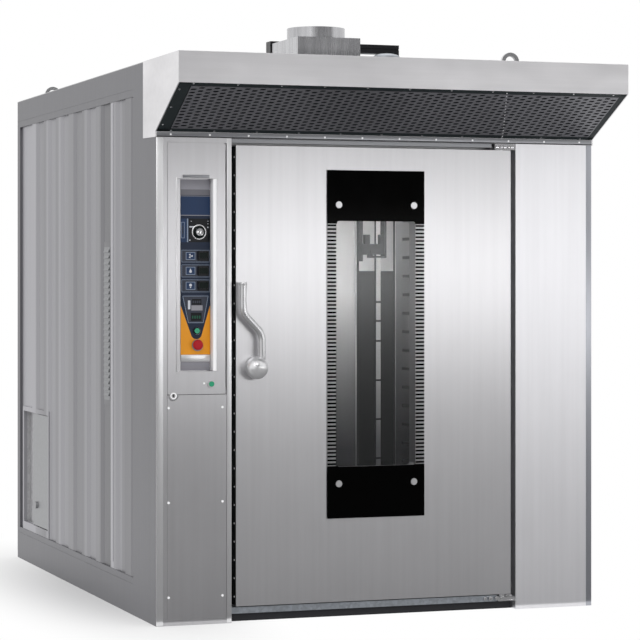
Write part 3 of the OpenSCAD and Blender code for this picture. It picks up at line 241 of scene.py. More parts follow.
@dataclass(frozen=True)
class BrushedSteel(Finish):
    """Sheet steel with a ground grain, faint handling marks and slightly wavy reflections.

    Beside its roughness and metal it has the depths of its wave and scratches in metres, the contrast
    of its grain, the strength of its marks (clouds) and of its stains and painted reflection patches
    (stains_and_sheen), factors for the tone from the front to the back that paint the light and shade
    of the side's ribs (painted_rib_light), and the heights in metres between which a painted shade
    towards the bottom ends (low_shade).
    """

    roughness: float = 0.32
    grain: Grain = Grain.UPRIGHT
    wave: float = 0.0006
    contrast: float = 0.10
    scratch: float = 0.00001
    clouds: float = 0.3
    metal: float = 1.0
    stains_and_sheen: float = 0.0
    painted_rib_light: tuple[Flat, ...] = ()
    low_shade: Flat | None = None

    def make(self) -> bpy.types.Material:
        """Builds the material."""
        paint = Shader(self.name)
        fine, streak = (paint.noise(tuple(scale * part for part in self.grain.value), 3.0)
                        for scale in (700, 45))
        broad = paint.noise((1.3, 1.1, 0.9), 1.0)
        cloud = paint.noise((9.0, 9.0, 5.0), 4.0)
        mark = streak * 0.55 + fine * 0.25 + cloud * 0.2
        tone = paint.mix(mark, shade(self.tone, 1 - self.contrast), shade(self.tone, 1 + self.contrast))
        # Patches of tone: stains, and on the collar a painted reflection.
        if self.stains_and_sheen:
            patch = paint.noise((2.2, 1.5, 5.0), 2.0)
            tone = paint.multiply(tone, paint.mix(patch, (1 - self.stains_and_sheen,) * 3, (1 + self.stains_and_sheen,) * 3))
        # Painted light and shade: each rib of the side gets its own tone, lighter or darker as its facing
        # catches the light.
        if self.painted_rib_light:
            stops = [(y / CASING_D, (by / 2,) * 3) for y, by in self.painted_rib_light]
            share = paint.along(1, -CASING_FRONT * MM, (CASING_D - CASING_FRONT) * MM)
            ramp = paint.node("ShaderNodeValToRGB", {"stops": stops}, {"Fac": share})
            tone = paint.multiply(tone, paint.multiply(ramp, (2.0, 2.0, 2.0)))
        # Painted shade: the tone darkens to 0.15 of itself below the lower height and is full above the upper
        # one.
        if self.low_shade:
            tone = paint.multiply(tone, paint.mix(paint.along(2, *self.low_shade), (0.15, 0.15, 0.16), (1.0,) * 3))
        rough = self.roughness + (cloud - 0.5) * (self.clouds * 0.10) + (fine - 0.5) * 0.12
        height = fine * self.scratch + broad * (self.wave * 10) + cloud * (self.wave * 0.12 * self.clouds)
        return paint.surface(Base_Color=tone, Metallic=self.metal, Roughness=rough, Normal=paint.bump(height))


@dataclass(frozen=True)
class Galvanised(Finish):
    """Zinc with its leafy spangle."""

    def make(self) -> bpy.types.Material:
        """Builds the material."""
        paint = Shader(self.name)
        leaf = paint.node("ShaderNodeTexVoronoi", {"feature": "F1"},
                          {"Vector": paint.spot(), "Scale": 90.0}, 1)
        share = paint.node("ShaderNodeRGBToBW", {}, {0: leaf})
        return paint.surface(Base_Color=paint.mix(share, shade(self.tone, 0.8), shade(self.tone, 1.12)),
                             Metallic=0.85, Roughness=0.42 + (share - 0.5) * 0.14,
                             Normal=paint.bump(paint.noise((60.0, 60.0, 60.0)) * 0.00008))


@dataclass(frozen=True)
class Coated(Finish):
    """Paint or moulded plastic, with a light orange peel and rubbed patches."""

    roughness: float = 0.4
    peel: float = 0.00003
    grain: float = 400.0
    metal: float = 0.0
    coat: float = 0.0
    wear: float = 0.12
    shine: float = 0.5

    def make(self) -> bpy.types.Material:
        """Builds the material."""
        paint = Shader(self.name)
        cloud = paint.noise((14.0, 14.0, 10.0), 4.0)
        pits = paint.noise((self.grain,) * 3, 2.0)
        tone = paint.mix(cloud, shade(self.tone, 1 - self.wear), shade(self.tone, 1 + self.wear))
        return paint.surface(Base_Color=tone, Metallic=self.metal, Coat_Weight=self.coat,
                             Specular_IOR_Level=self.shine, Roughness=self.roughness + (cloud - 0.5) * 0.16,
                             Normal=paint.bump(pits * self.peel))


@dataclass(frozen=True)
class ClearGlass(Finish):
    """A pane that shows what is behind it, with a faint film of grease that catches the light."""

    mirror: float = 0.016

    def make(self) -> bpy.types.Material:
        """Builds the material."""
        paint = Shader(self.name)
        smear = paint.noise((3.0, 3.0, 2.0), 3.0)
        return paint.surface(Base_Color=self.tone, Metallic=1.0, Roughness=0.2 + (smear - 0.5) * 0.08,
                             Alpha=self.mirror)


@dataclass(frozen=True)
class Glowing(Finish):
    """A frosted cover with a lamp behind its upper part."""

    power: float = 62.0
    lit: Flat = (1.1, 1.6)

    def make(self) -> bpy.types.Material:
        """Builds the material."""
        paint = Shader(self.name)
        tone = paint.mix(paint.noise((30.0, 30.0, 220.0), 1.0), shade(self.tone, 0.9), self.tone)
        light = paint.mix(paint.along(2, *self.lit), shade(self.tone, 0.05), tone)
        return paint.surface(Base_Color=tone, Roughness=0.5, Emission_Color=light,
                             Emission_Strength=self.power)


@dataclass(frozen=True)
class MineralWool(Finish):
    """Matted fibre."""

    def make(self) -> bpy.types.Material:
        """Builds the material."""
        paint = Shader(self.name)
        tuft = paint.noise((120.0, 120.0, 120.0), 6.0)
        return paint.surface(Base_Color=paint.mix(tuft, shade(self.tone, 0.7), self.tone), Roughness=0.95,
                             Normal=paint.bump(tuft * 0.004))


FRONT = BrushedSteel("front_steel", "brushed_front", (0.66, 0.655, 0.67), 0.33, clouds=0.1)
FASCIA = BrushedSteel("fascia_steel", "brushed_front", (0.78, 0.77, 0.785), 0.36, Grain.ACROSS, 0.002,
                      stains_and_sheen=0.25)
COLUMN = BrushedSteel("column_steel", "brushed_front", (0.59, 0.585, 0.60), 0.33, wave=0.0012)
# Painted highlight: a near-white copy of the column steel for the glints on rounded corners and rims.
CORNER_GLINT = BrushedSteel("corner_painted_glint", "brushed_front", (0.86, 0.86, 0.87), 0.36, wave=0.0002, clouds=0.1)
# Painted light and shade of the side's ribs: tone factors by distance in millimetres behind the front.
SIDE_RIB_LIGHT = (
    (355, 0.90), (480, 0.90), (500, 0.86), (584, 1.05), (592, 1.28), (690, 1.28), (703, 1.75),
    (738, 1.75), (745, 0.72), (790, 0.70), (930, 0.88), (950, 1.10), (1022, 1.10), (1040, 1.24),
    (1207, 1.24), (1240, 0.92), (1556, 1.14), (1590, 1.24), (1718, 1.42), (1739, 1.06), (1822, 1.06),
    (1840, 1.28), (1969, 1.38), (2010, 0.98), (2210, 1.30), (2230, 1.60), (2560, 1.62))
SIDE = BrushedSteel("side_steel", "side_steel", (0.262, 0.260, 0.275), 0.45, metal=0.8, painted_rib_light=SIDE_RIB_LIGHT)
FLAT_SIDE = BrushedSteel("plain_side_steel", "side_steel", (0.275, 0.28, 0.29), 0.45, metal=0.8)
POST = BrushedSteel("post_paint", "frame_paint", (0.188, 0.187, 0.200), 0.45, metal=0.8)
ROOF = BrushedSteel("roof_steel", "roof_steel", (0.45, 0.45, 0.46), 0.4, Grain.LENGTHWAYS)
INSIDE = BrushedSteel("lining_steel", "liner_steel", (0.42, 0.42, 0.43), 0.40)
# Heights in metres between which the chamber's steel goes from painted shade at the bottom to its full tone.
LOW_SHADE_HEIGHTS = (0.6, 1.35)
DUCT = BrushedSteel("duct_steel", "liner_steel", (0.63, 0.63, 0.64), 0.5, metal=0.5, low_shade=LOW_SHADE_HEIGHTS)
AIR_WALL = BrushedSteel("air_wall_steel", "liner_steel", (0.56, 0.56, 0.57), 0.45, metal=0.7, low_shade=LOW_SHADE_HEIGHTS)
# Painted shade: a near-black copy of the chamber steel for the rear wall's lower outer sheets, which lie in
# shade.
SHADED_WALL = BrushedSteel("rear_wall_painted_shade", "liner_steel", (0.034, 0.034, 0.037), 0.5, metal=0.5,
                         low_shade=LOW_SHADE_HEIGHTS)
# Painted highlight: matt white that stands for the glint on the polished cover strips.
STRIP_GLINT = BrushedSteel("cover_strip_painted_glint", "liner_steel", (1.0, 1.0, 1.0), 0.6, contrast=0.02, metal=0.0,
                     low_shade=LOW_SHADE_HEIGHTS)
HATCH = Galvanised("hatch_sheet", "galvanised", (0.33, 0.335, 0.345))
# Painted light: a brighter copy of the galvanised sheet for the burner bay, which lies in shade.
BAY_LIT = Galvanised("bay_sheet_painted_light", "galvanised", (0.60, 0.60, 0.61))
SEAM = BrushedSteel("dark_seam", "liner_steel", (0.02, 0.02, 0.022), 0.6, metal=0.5)
# Painted light: a lighter copy of the front steel for the right column, which catches more light.
RIGHT_LIT = BrushedSteel("right_column_painted_light", "brushed_front", (0.86, 0.855, 0.88), 0.42, clouds=0.1)
# Painted shade: a darker, bluish copy of the front steel for the right column's folded edge.
FOLD_SHADE = BrushedSteel("folded_edge_painted_shade", "brushed_front", (0.44, 0.45, 0.49), 0.36, clouds=0.1)
RAIL = BrushedSteel("head_rail_steel", "brushed_front", (0.30, 0.305, 0.32), 0.36, Grain.ACROSS)
# Painted highlight: near-white and nearly non-metallic, for the glints on screw heads, the lock ring, the
# button's bezel and the recess's side.
GLINT_WHITE = BrushedSteel("painted_glint_white", "brushed_front", (0.95, 0.95, 0.96), 0.5, contrast=0.04, metal=0.1)
# Painted reflection: the collar's strong grain contrast and patches stand for the bright and dark stripes its
# round face reflects, on top of its mottle.
COLLAR = BrushedSteel("collar_steel", "brushed_front", (0.50, 0.50, 0.515), 0.26, contrast=0.55, stains_and_sheen=0.15)
DISC = BrushedSteel("disc_steel", "polished", (0.62, 0.62, 0.63), 0.34, contrast=0.2)
POLISHED = BrushedSteel("polished_steel", "polished", (0.72, 0.72, 0.73), 0.16, wave=0.0, contrast=0.05)
BOSS = BrushedSteel("boss_steel", "polished", (0.74, 0.74, 0.75), 0.3, wave=0.0, contrast=0.05, metal=0.8)
LEVER = BrushedSteel("lever_steel", "polished", (0.62, 0.62, 0.63), 0.28, wave=0.0, contrast=0.05, metal=0.9)
KNOB = BrushedSteel("turned_knob", "knob_silver", (0.66, 0.66, 0.67), 0.22, wave=0.0)
DULL = Coated("hook_steel", "hook_steel", (0.03, 0.03, 0.033), 0.6, shine=0.15)
ZINC = Galvanised("galvanised_sheet", "galvanised", (0.42, 0.45, 0.49))
MESH = Coated("grille_metal", "grille_black", (0.17, 0.17, 0.185), 0.42, metal=0.6)
MESH_EDGE = Coated("grille_edge", "grille_black", (0.016, 0.022, 0.024), 0.5, metal=0.2, shine=0.2)
PLINTH = Coated("plinth_paint", "plinth_dark", (0.03, 0.03, 0.034), 0.6, shine=0.2)
WOOL = MineralWool("mineral_wool", "wool", (0.62, 0.52, 0.28))
IRON = Coated("cast_iron", "dark_iron", (0.05, 0.05, 0.055), 0.62, 0.0006, 260.0, 0.5, wear=0.3)
HEATED = Coated("heated_steel", "exchanger_steel", (0.28, 0.22, 0.18), 0.45, 0.0002, 60.0, 0.8, wear=0.3)
BURNER = Coated("burner_enamel", "burner_red", (0.42, 0.03, 0.02), 0.28, coat=0.4)
MOTOR = Coated("motor_casting", "motor_grey", (0.42, 0.44, 0.47), 0.45, 0.0003, 500.0, 0.8)
BRIDGE = Coated("bridge_paint", "bridge_black", (0.010, 0.010, 0.012), 0.3, shine=0.3)
RUBBER = Coated("black_rubber", "black_rubber", (0.010, 0.010, 0.011), 0.6, 0.0001, 900.0, shine=0.25)
OUTER_GLASS = ClearGlass("outer_glass", "window_glass", (0.92, 0.95, 0.95))
INNER_GLASS = ClearGlass("inner_glass", "clear_glass", (0.92, 0.95, 0.95), 0.010)
ENAMEL = Coated("black_enamel", "window_glass", (0.001, 0.001, 0.001), 0.12, 0.0, wear=0.02, shine=0.02)
LAMP = Glowing("lamp_cover", "lamp_cover", (1.0, 0.99, 0.97))
ROCKER = Coated("rocker_plastic", "rocker_black", (0.002, 0.006, 0.005), 0.3, shine=0.1)
GREEN = Coated("green_plastic", "button_green", (0.012, 0.28, 0.14), 0.25, wear=0.08)
RED = Coated("red_plastic", "stop_red", (0.36, 0.004, 0.010), 0.45, wear=0.08, shine=0.25)
FILM = {name: Coated("film_" + name, "overlay_film", tone, roughness, shine=shine)
        for name, tone, roughness, shine in (
            ("grey", (0.25, 0.247, 0.275), 0.4, 0.3), ("middle", (0.14, 0.137, 0.155), 0.4, 0.3),
            ("charcoal", (0.035, 0.040, 0.058), 0.4, 0.25), ("navy", (0.010, 0.018, 0.040), 0.4, 0.25),
            ("blue", (0.014, 0.034, 0.088), 0.4, 0.25), ("black", (0.003, 0.004, 0.006), 0.3, 0.2),
            ("orange", (0.74, 0.29, 0.007), 0.4, 0.3), ("line", (0.22, 0.27, 0.36), 0.4, 0.3),
            ("white", (0.55, 0.57, 0.62), 0.4, 0.3), ("green", (0.008, 0.075, 0.040), 0.4, 0.25))}

NODE_FINISHES: dict[Finish, tuple[str, ...]] = {
    FRONT: ("right_column", "front_header", "door_shell"),
    COLUMN: ("control_cabinet", "access_panel", "service_panel", "control_recess"),
    FASCIA: ("hood_shell",),
    COLLAR: ("vapour_outlet",),
    DISC: ("window_discs",),
    SIDE: ("left_side_panel", "right_side_panel"),
    FLAT_SIDE: ("rear_panel", "louvre_panel"),
    POST: ("side_frames",),
    ROOF: ("roof_panel",),
    MESH: ("hood_grille",),
    ZINC: ("door_sill",),
    HATCH: ("burner_hatch",),
    BAY_LIT: ("burner_bay",),
    PLINTH: ("base_frame",),
    INSIDE: ("door_jamb", "chamber_lining", "rear_air_wall", "floor_pan", "door_liner"),
    DUCT: ("side_air_ducts",),
    WOOL: ("insulation",),
    GLINT_WHITE: ("casing_screws",),
    POLISHED: ("door_handle", "panel_lock", "top_bearing", "lifting_eyes",
               "hinge_brackets", "latch_keeper", "latch_cam", "rotor_shaft"),
    DULL: ("rack_hook",),
    IRON: ("steam_generator", "motor_pulley", "fan_wheel"),
    HEATED: ("heat_exchanger",),
    BURNER: ("burner",),
    MOTOR: ("fan_motor", "gear_motor"),
    BRIDGE: ("drive_bridge", "vapour_flap"),
    RUBBER: ("door_seal", "drive_belt"),
    OUTER_GLASS: ("outer_glass",),
    INNER_GLASS: ("inner_glass",),
    LAMP: ("chamber_lamps",),
    FILM["grey"]: ("control_overlay",),
    KNOB: ("timer_knob",),
    ROCKER: ("rocker_upper", "rocker_middle", "rocker_lower"),
    GREEN: ("start_button", "column_button"),
    RED: ("emergency_stop",),
}


# ---- Mesh work ------------------------------------------------------------------------------


class Workshop:
    """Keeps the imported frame, the materials made so far and the bodies of the nodes."""

    def __init__(self, frame: dict[str, Any]) -> None:
        """Reads which body each node rides on.
        """
        self.nodes = frame["nodes"]
        self.body_of = {node: body for body, nodes in frame["record"]["behaviour"]["bodies"].items()
                        for node in nodes}
        self.made: dict[str, bpy.types.Material] = {}

    def material(self, finish: Finish) -> bpy.types.Material:
        """The finish's material, made once."""
        if finish.name not in self.made:
            self.made[finish.name] = finish.make()
        return self.made[finish.name]

    def dress_nodes(self) -> None:
        """Gives every CAD node its finish."""
        for finish, names in NODE_FINISHES.items():
            for name in names:
                mesh = self.nodes[name].data
                mesh.materials.clear()
                mesh.materials.append(self.material(finish))
                mesh.polygons.foreach_set("material_index", [0] * len(mesh.polygons))

    def shown(self, name: str, mesh: bpy.types.Mesh, body: str, finish: Finish,
              replaces: Sequence[str] = ()) -> bpy.types.Object:
        """Puts a finished mesh in the scene.

        Args:
            name: the piece's name.
            mesh: its mesh, in place.
            body: the body that it rides on.
            finish: its finish.
            replaces: CAD nodes that it stands for.

        Returns:
            The piece's object.
        """
        made = bpy.data.objects.new(name, mesh)
        bpy.context.scene.collection.objects.link(made)
        mesh.materials.clear()
        mesh.materials.append(self.material(finish))
        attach(made, body)
        if replaces:
            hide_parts(*replaces)
        LOG.info("%s: %d faces on %s", name, len(mesh.polygons), body)
        return made

    def soften(self, node: str, finish: Finish, width: float, side_finish: Finish | None = None) -> None:
        """Shows a copy of a CAD node with rounded folds and edges in its place.

        Args:
            node: the node.
            finish: the copy's finish.
            width: how wide the rounding is.
            side_finish: a finish of its own for the faces on the casing's left or right side.
        """
        mesh = self.nodes[node].data.copy()
        work = bmesh.new()
        work.from_mesh(mesh)
        bmesh.ops.remove_doubles(work, verts=work.verts, dist=1e-5)
        bmesh.ops.dissolve_limit(work, angle_limit=math.radians(0.5), verts=work.verts, edges=work.edges,
                                 delimit=set())
        for face in work.faces:
            face.smooth = True
        work.to_mesh(mesh)
        work.free()
        made = self.shown(node + "_formed", mesh, self.body_of[node], finish, [node])
        if side_finish:
            mesh.materials.append(self.material(side_finish))
            for face in mesh.polygons:
                face.material_index = int(face.normal.x * face.center.x > 0.85)
        fold = made.modifiers.new("folds", "BEVEL")
        fold.width = width * MM
        fold.segments = 2
        fold.limit_method = "ANGLE"
        fold.angle_limit = math.radians(35)
        made.modifiers.new("flats", "WEIGHTED_NORMAL").weight = 100


class Solid:
    """A mesh in the making, from bmesh operators."""

    def __init__(self) -> None:
        """Starts an empty mesh."""
        self.work = bmesh.new()

    def _bevelled(self, verts: Sequence[bmesh.types.BMVert], width: float, segments: int = 2,
                  angle: float = 40.0) -> None:
        """Rounds the sharp edges between some vertices.

        Args:
            verts: the vertices.
            width: how wide the rounding is.
            segments: how many faces round an edge.
            angle: edges sharper than this many degrees are rounded.
        """
        if width <= 0:
            return
        mine = set(verts)
        edges = [edge for edge in self.work.edges
                 if edge.verts[0] in mine and edge.verts[1] in mine and len(edge.link_faces) == 2
                 and edge.calc_face_angle(0.0) > math.radians(angle)]
        bmesh.ops.bevel(self.work, geom=edges, offset=width, segments=segments, profile=0.5,
                        affect="EDGES", material=-1, clamp_overlap=True)

    def block(self, low: Point, high: Point, round_by: float = 0.0, segments: int = 2) -> "Solid":
        """Adds a block between two corners.

        Args:
            low: its lowest corner.
            high: its highest corner.
            round_by: the rounding of its edges.
            segments: how many faces round an edge.

        Returns:
            This solid.
        """
        a, b = Vector(low), Vector(high)
        verts = bmesh.ops.create_cube(self.work, size=1.0)["verts"]
        bmesh.ops.scale(self.work, vec=b - a, verts=verts)
        bmesh.ops.translate(self.work, vec=(a + b) / 2, verts=verts)
        self._bevelled(verts, round_by, segments)
        return self

    def rod(self, start: Point, end: Point, radii: Flat, sides: int, round_by: float = 0.0) -> "Solid":
        """Adds a round bar or cone from start to end.

        Args:
            start: the middle of its first face.
            end: the middle of its last face.
            radii: its radius at the start and at the end.
            sides: how many faces go round it.
            round_by: the rounding of its rims.

        Returns:
            This solid.
        """
        a, b = Vector(start), Vector(end)
        turn = (b - a).to_track_quat("Z", "Y").to_matrix().to_4x4()
        verts = bmesh.ops.create_cone(
            self.work, cap_ends=True, segments=sides, radius1=radii[0], radius2=radii[1],
            depth=(b - a).length, matrix=Matrix.Translation((a + b) / 2) @ turn)["verts"]
        self._bevelled(verts, round_by, 3, 50.0)
        return self

    def turned(self, centre: Point, axis: Point, profile: Sequence[Flat], sides: int) -> "Solid":
        """Adds a closed shape turned round an axis.

        Args:
            centre: a point on the axis, where the profile's height is 0.
            axis: the axis's direction.
            profile: (radius, height) points from one end of the axis to the other.
            sides: how many faces go round it.

        Returns:
            This solid.
        """
        part = bmesh.new()
        chain = [part.verts.new((radius, 0.0, height)) for radius, height in profile]
        edges = [part.edges.new(pair) for pair in zip(chain, chain[1:])]
        bmesh.ops.spin(part, geom=[*chain, *edges], cent=(0, 0, 0), axis=(0, 0, 1), angle=math.tau,
                       steps=sides, use_merge=True, use_duplicate=False)
        bmesh.ops.remove_doubles(part, verts=part.verts, dist=1e-4)
        bmesh.ops.recalc_face_normals(part, faces=part.faces)
        turn = Vector(axis).to_track_quat("Z", "Y").to_matrix().to_4x4()
        bmesh.ops.transform(part, matrix=Matrix.Translation(centre) @ turn, verts=part.verts)
        return self.join(part)

    def tube(self, path: Sequence[Point], radius: float, sides: int) -> "Solid":
        """Adds a round tube along a path.

        Args:
            path: the points of its centre line.
            radius: its radius.
            sides: how many faces go round it.

        Returns:
            This solid.
        """
        points = [Vector(point) for point in path]
        part = bmesh.new()
        heading = (points[1] - points[0]).normalized()
        bmesh.ops.create_circle(
            part, cap_ends=True, segments=sides, radius=radius,
            matrix=Matrix.Translation(points[0]) @ heading.to_track_quat("Z", "Y").to_matrix().to_4x4())
        face = part.faces[:][0]
        for here, there, after in zip(points, points[1:], [*points[2:], points[-1] * 2 - points[-2]]):
            grown = bmesh.ops.extrude_face_region(part, geom=[face])["geom"]
            face = next(item for item in grown if isinstance(item, bmesh.types.BMFace))
            leaving = ((there - here).normalized() + (after - there).normalized()).normalized()
            swing = heading.rotation_difference(leaving).to_matrix().to_4x4()
            bmesh.ops.transform(part, verts=verts_in(grown),
                                matrix=Matrix.Translation(there) @ swing @ Matrix.Translation(-here))
            heading = leaving
        bmesh.ops.recalc_face_normals(part, faces=part.faces)
        return self.join(part)

    def plate(self, outline: Sequence[Flat], front: float, back: float) -> "Solid":
        """Adds an upright plate with an outline in X and Z.

        Args:
            outline: its corners.
            front: the distance of its front face behind the casing's front.
            back: the distance of its rear face.

        Returns:
            This solid.
        """
        verts = [self.work.verts.new((x, front, z)) for x, z in outline]
        far = verts_in(bmesh.ops.extrude_face_region(self.work, geom=[self.work.faces.new(verts)])["geom"])
        bmesh.ops.translate(self.work, vec=(0, back - front, 0), verts=far)
        faces = {linked for vert in [*verts, *far] for linked in vert.link_faces}
        bmesh.ops.recalc_face_normals(self.work, faces=list(faces))
        return self

    def join(self, part: bmesh.types.BMesh) -> "Solid":
        """Moves another bmesh's faces into this one.

        Args:
            part: the other bmesh, which is freed.

        Returns:
            This solid.
        """
        mesh = bpy.data.meshes.new("part")
        part.to_mesh(mesh)
        part.free()
        self.work.from_mesh(mesh)
        bpy.data.meshes.remove(mesh)
        return self

    def moved(self, matrix: Matrix) -> "Solid":
        """Moves all of it."""
        bmesh.ops.transform(self.work, matrix=matrix, verts=self.work.verts)
        return self

    def done(self, shop: Workshop, name: str, body: str, finish: Finish, replaces: Sequence[str] = (),
             sharp: float = 35.0) -> None:
        """Ends the mesh and shows it.

        Args:
            shop: the workshop.
            name: the piece's name.
            body: the body that it rides on.
            finish: its finish.
            replaces: CAD nodes that it stands for.
            sharp: edges sharper than this many degrees stay crisp.
        """
        self.moved(TO_MODEL)
        for face in self.work.faces:
            face.smooth = True
        mesh = bpy.data.meshes.new(name)
        self.work.to_mesh(mesh)
        self.work.free()
        mesh.set_sharp_from_angle(angle=math.radians(sharp))
        shop.shown(name, mesh, body, finish, replaces)


def verts_in(geometry: Sequence[Any]) -> list[bmesh.types.BMVert]:
    """The vertices among what a bmesh operator returned."""
    return [item for item in geometry if isinstance(item, bmesh.types.BMVert)]


def ring_points(centre: Flat, radius: float, first: float, last: float, steps: int) -> list[Flat]:
    """Points on an arc in X and Z, with angles in degrees from +X towards +Z."""
    turns = [math.radians(first + (last - first) * k / steps) for k in range(steps + 1)]
    return [(centre[0] + radius * math.cos(a), centre[1] + radius * math.sin(a)) for a in turns]


def rounded_path(corners: Sequence[Flat], radius: float, steps: int) -> list[Flat]:
    """A path whose inner corners are rounded.

    Args:
        corners: the path's corners.
        radius: the radius of the rounding.
        steps: how many pieces a rounding has.

    Returns:
        The points of the path.
    """
    path = [corners[0]]
    for before, here, after in zip(corners, corners[1:], corners[2:]):
        p, a, b = Vector(here), Vector(before), Vector(after)
        u, v = (p - a).normalized(), (b - p).normalized()
        back = radius * math.tan(abs(u.angle_signed(v)) / 2)
        start, end = p - u * back, p + v * back
        for t in (k / steps for k in range(steps + 1)):
            path.append(tuple((1 - t) ** 2 * start + 2 * t * (1 - t) * p + t * t * end))
    return [*path, corners[-1]]


# ---- Sub-assemblies -------------------------------------------------------------------------


@dataclass
class Hood:
    """The hood's folded shell and its perforated grille."""

    shop: Workshop
    lip_z: float = 2003.0
    fascia_z: float = 2175.0
    run: float = 339.0
    seam_x: float = 1384.0
    pitch: Flat = (31.5, 24.4)
    slot: Flat = (25.6, 12.0)
    lean: float = 3.4
    margin: float = 15.0
    left_margin: float = 46.0
    right_margin: float = 18.0
    sheet: float = 1.6
    frame_width: float = 23.0
    frame_ends: Flat = (52.0, 26.0)
    screw_steps: tuple[float, int] = (182.0, 11)
    seam_screws: int = 15

    def build(self) -> None:
        """Makes the hood."""
        self.shop.soften("hood_shell", FASCIA, 1.4)
        self._mesh_panel()
        self._margins()

    def _show(self, solid: Solid, name: str, finish: Finish) -> None:
        """Shows a solid that was made flat, on the grille's slope."""
        solid.moved(self._slope()).done(self.shop, name, "oven_body", finish)

    def _slope(self) -> Matrix:
        """The plane of the grille: local X runs right, Y up the slope to the fascia, Z into the hood."""
        tilt = math.atan2(self.fascia_z - self.lip_z, self.run)
        along = Vector((0, -math.cos(tilt), math.sin(tilt)))
        inward = Vector((0, math.sin(tilt), math.cos(tilt)))
        turn = Matrix((Vector((1, 0, 0)), along, inward)).transposed().to_4x4()
        return Matrix.Translation((0, -3.3, self.lip_z)) @ turn

    @property
    def slope_length(self) -> float:
        """Length of the slope from lip to fascia."""
        return math.hypot(self.fascia_z - self.lip_z, self.run)

    def _cell(self, work: bmesh.types.BMesh) -> list[Any]:
        """One mesh cell with its slanted slot.

        Args:
            work: the bmesh that the cell is made in.

        Returns:
            The cell's vertices, edges and faces.
        """
        w, h = self.pitch[0] / 2, self.pitch[1] / 2
        a, b, lean = self.slot[0] / 2, self.slot[1] / 2, self.lean
        outer = [(-w, -h), (w, -h), (w, 0), (w, h), (-w, h), (-w, 0)]
        inner = [(-a + lean, -b), (a - 2 * lean, -b), (a, -b * 0.1), (a - lean, b), (-a + 2 * lean, b),
                 (-a, b * 0.1)]
        rings = []
        for corners in (outer, inner):
            verts = [work.verts.new((x, y, 0)) for x, y in corners]
            rings.append([work.edges.new((verts[k], verts[(k + 1) % 6])) for k in range(6)])
        faces = bmesh.ops.bridge_loops(work, edges=[*rings[0], *rings[1]])["faces"]
        return [*{v for ring in rings for edge in ring for v in edge.verts},
                *{edge for face in faces for edge in face.edges}, *faces]

    def _mesh_panel(self) -> None:
        """The perforated sheet, whose every second column stands half a slot higher, and the mat behind."""
        w, h = self.pitch
        rows = int((self.slope_length - 2 * self.margin) / h - 0.5)
        start = (self.slope_length - (rows + 0.5) * h) / 2
        room = CASING_W - self.right_margin - self.left_margin
        columns = int(room / w)
        offset = self.left_margin + (room - columns * w) / 2
        work = bmesh.new()
        seed = self._cell(work)
        for i in range(columns):
            for j in range(rows):
                copy = bmesh.ops.duplicate(work, geom=seed)["geom"]
                place = (offset + (i + 0.5) * w, start + (j + 0.5 + (i % 2) / 2) * h, 0)
                bmesh.ops.translate(work, vec=place, verts=verts_in(copy))
            x, y = offset + i * w, start + (rows * h if i % 2 == 0 else 0)
            corners = [(x, y, 0), (x + w, y, 0), (x + w, y + h / 2, 0), (x, y + h / 2, 0)]
            work.faces.new([work.verts.new(corner) for corner in corners])
        bmesh.ops.delete(work, geom=verts_in(seed), context="VERTS")
        bmesh.ops.remove_doubles(work, verts=work.verts, dist=0.01)
        bmesh.ops.recalc_face_normals(work, faces=work.faces)
        bmesh.ops.solidify(work, geom=work.faces[:], thickness=self.sheet)
        bmesh.ops.recalc_face_normals(work, faces=work.faces)
        Solid().join(work).moved(self._slope() @ Matrix.Translation((0, 0, 0.9))).done(
            self.shop, "grille_mesh", "oven_body", MESH, ["hood_grille"], 25.0)
        mat = Solid().block((8, 8, 7.0), (CASING_W - 8, self.slope_length - 8, 9.0))
        self._show(mat, "grease_filter_mat", MESH_EDGE)

    def _margins(self) -> None:
        """Dark frame strips round the mesh, and the screws in them and along the slanted seam."""
        length = self.slope_length
        frame = Solid()
        for x0, x1, y0, y1 in ((0, CASING_W, 0, self.frame_width),
                               (0, CASING_W, length - self.frame_width, length),
                               (0, self.frame_ends[0], 0, length),
                               (CASING_W - self.frame_ends[1], CASING_W, 0, length)):
            frame.block((x0, y0 + 0.5, 0), (x1, y1 - 0.5, 2.2))
        self._show(frame, "grille_frame", MESH_EDGE)
        screws = Solid()
        step, count = self.screw_steps
        spots = [(14.0, length * part) for part in (0.14, 0.5, 0.86)]
        spots += [(60 + step * k, y) for y in (length - 8, 8) for k in range(count)]
        for x, y in spots:
            screws.rod((x, y, 0.2), (x, y, -1.6), (4.0, 2.6), 16)
        for share in (k / (self.seam_screws - 1) for k in range(self.seam_screws)):
            x, y = self.seam_x + 16 + 116 * (1 - share), 16 + (length - 32) * share
            screws.rod((x, y, 1.2), (x, y, -2.2), (3.4, 2.4), 12)
        self._show(screws, "grille_screws", POLISHED)


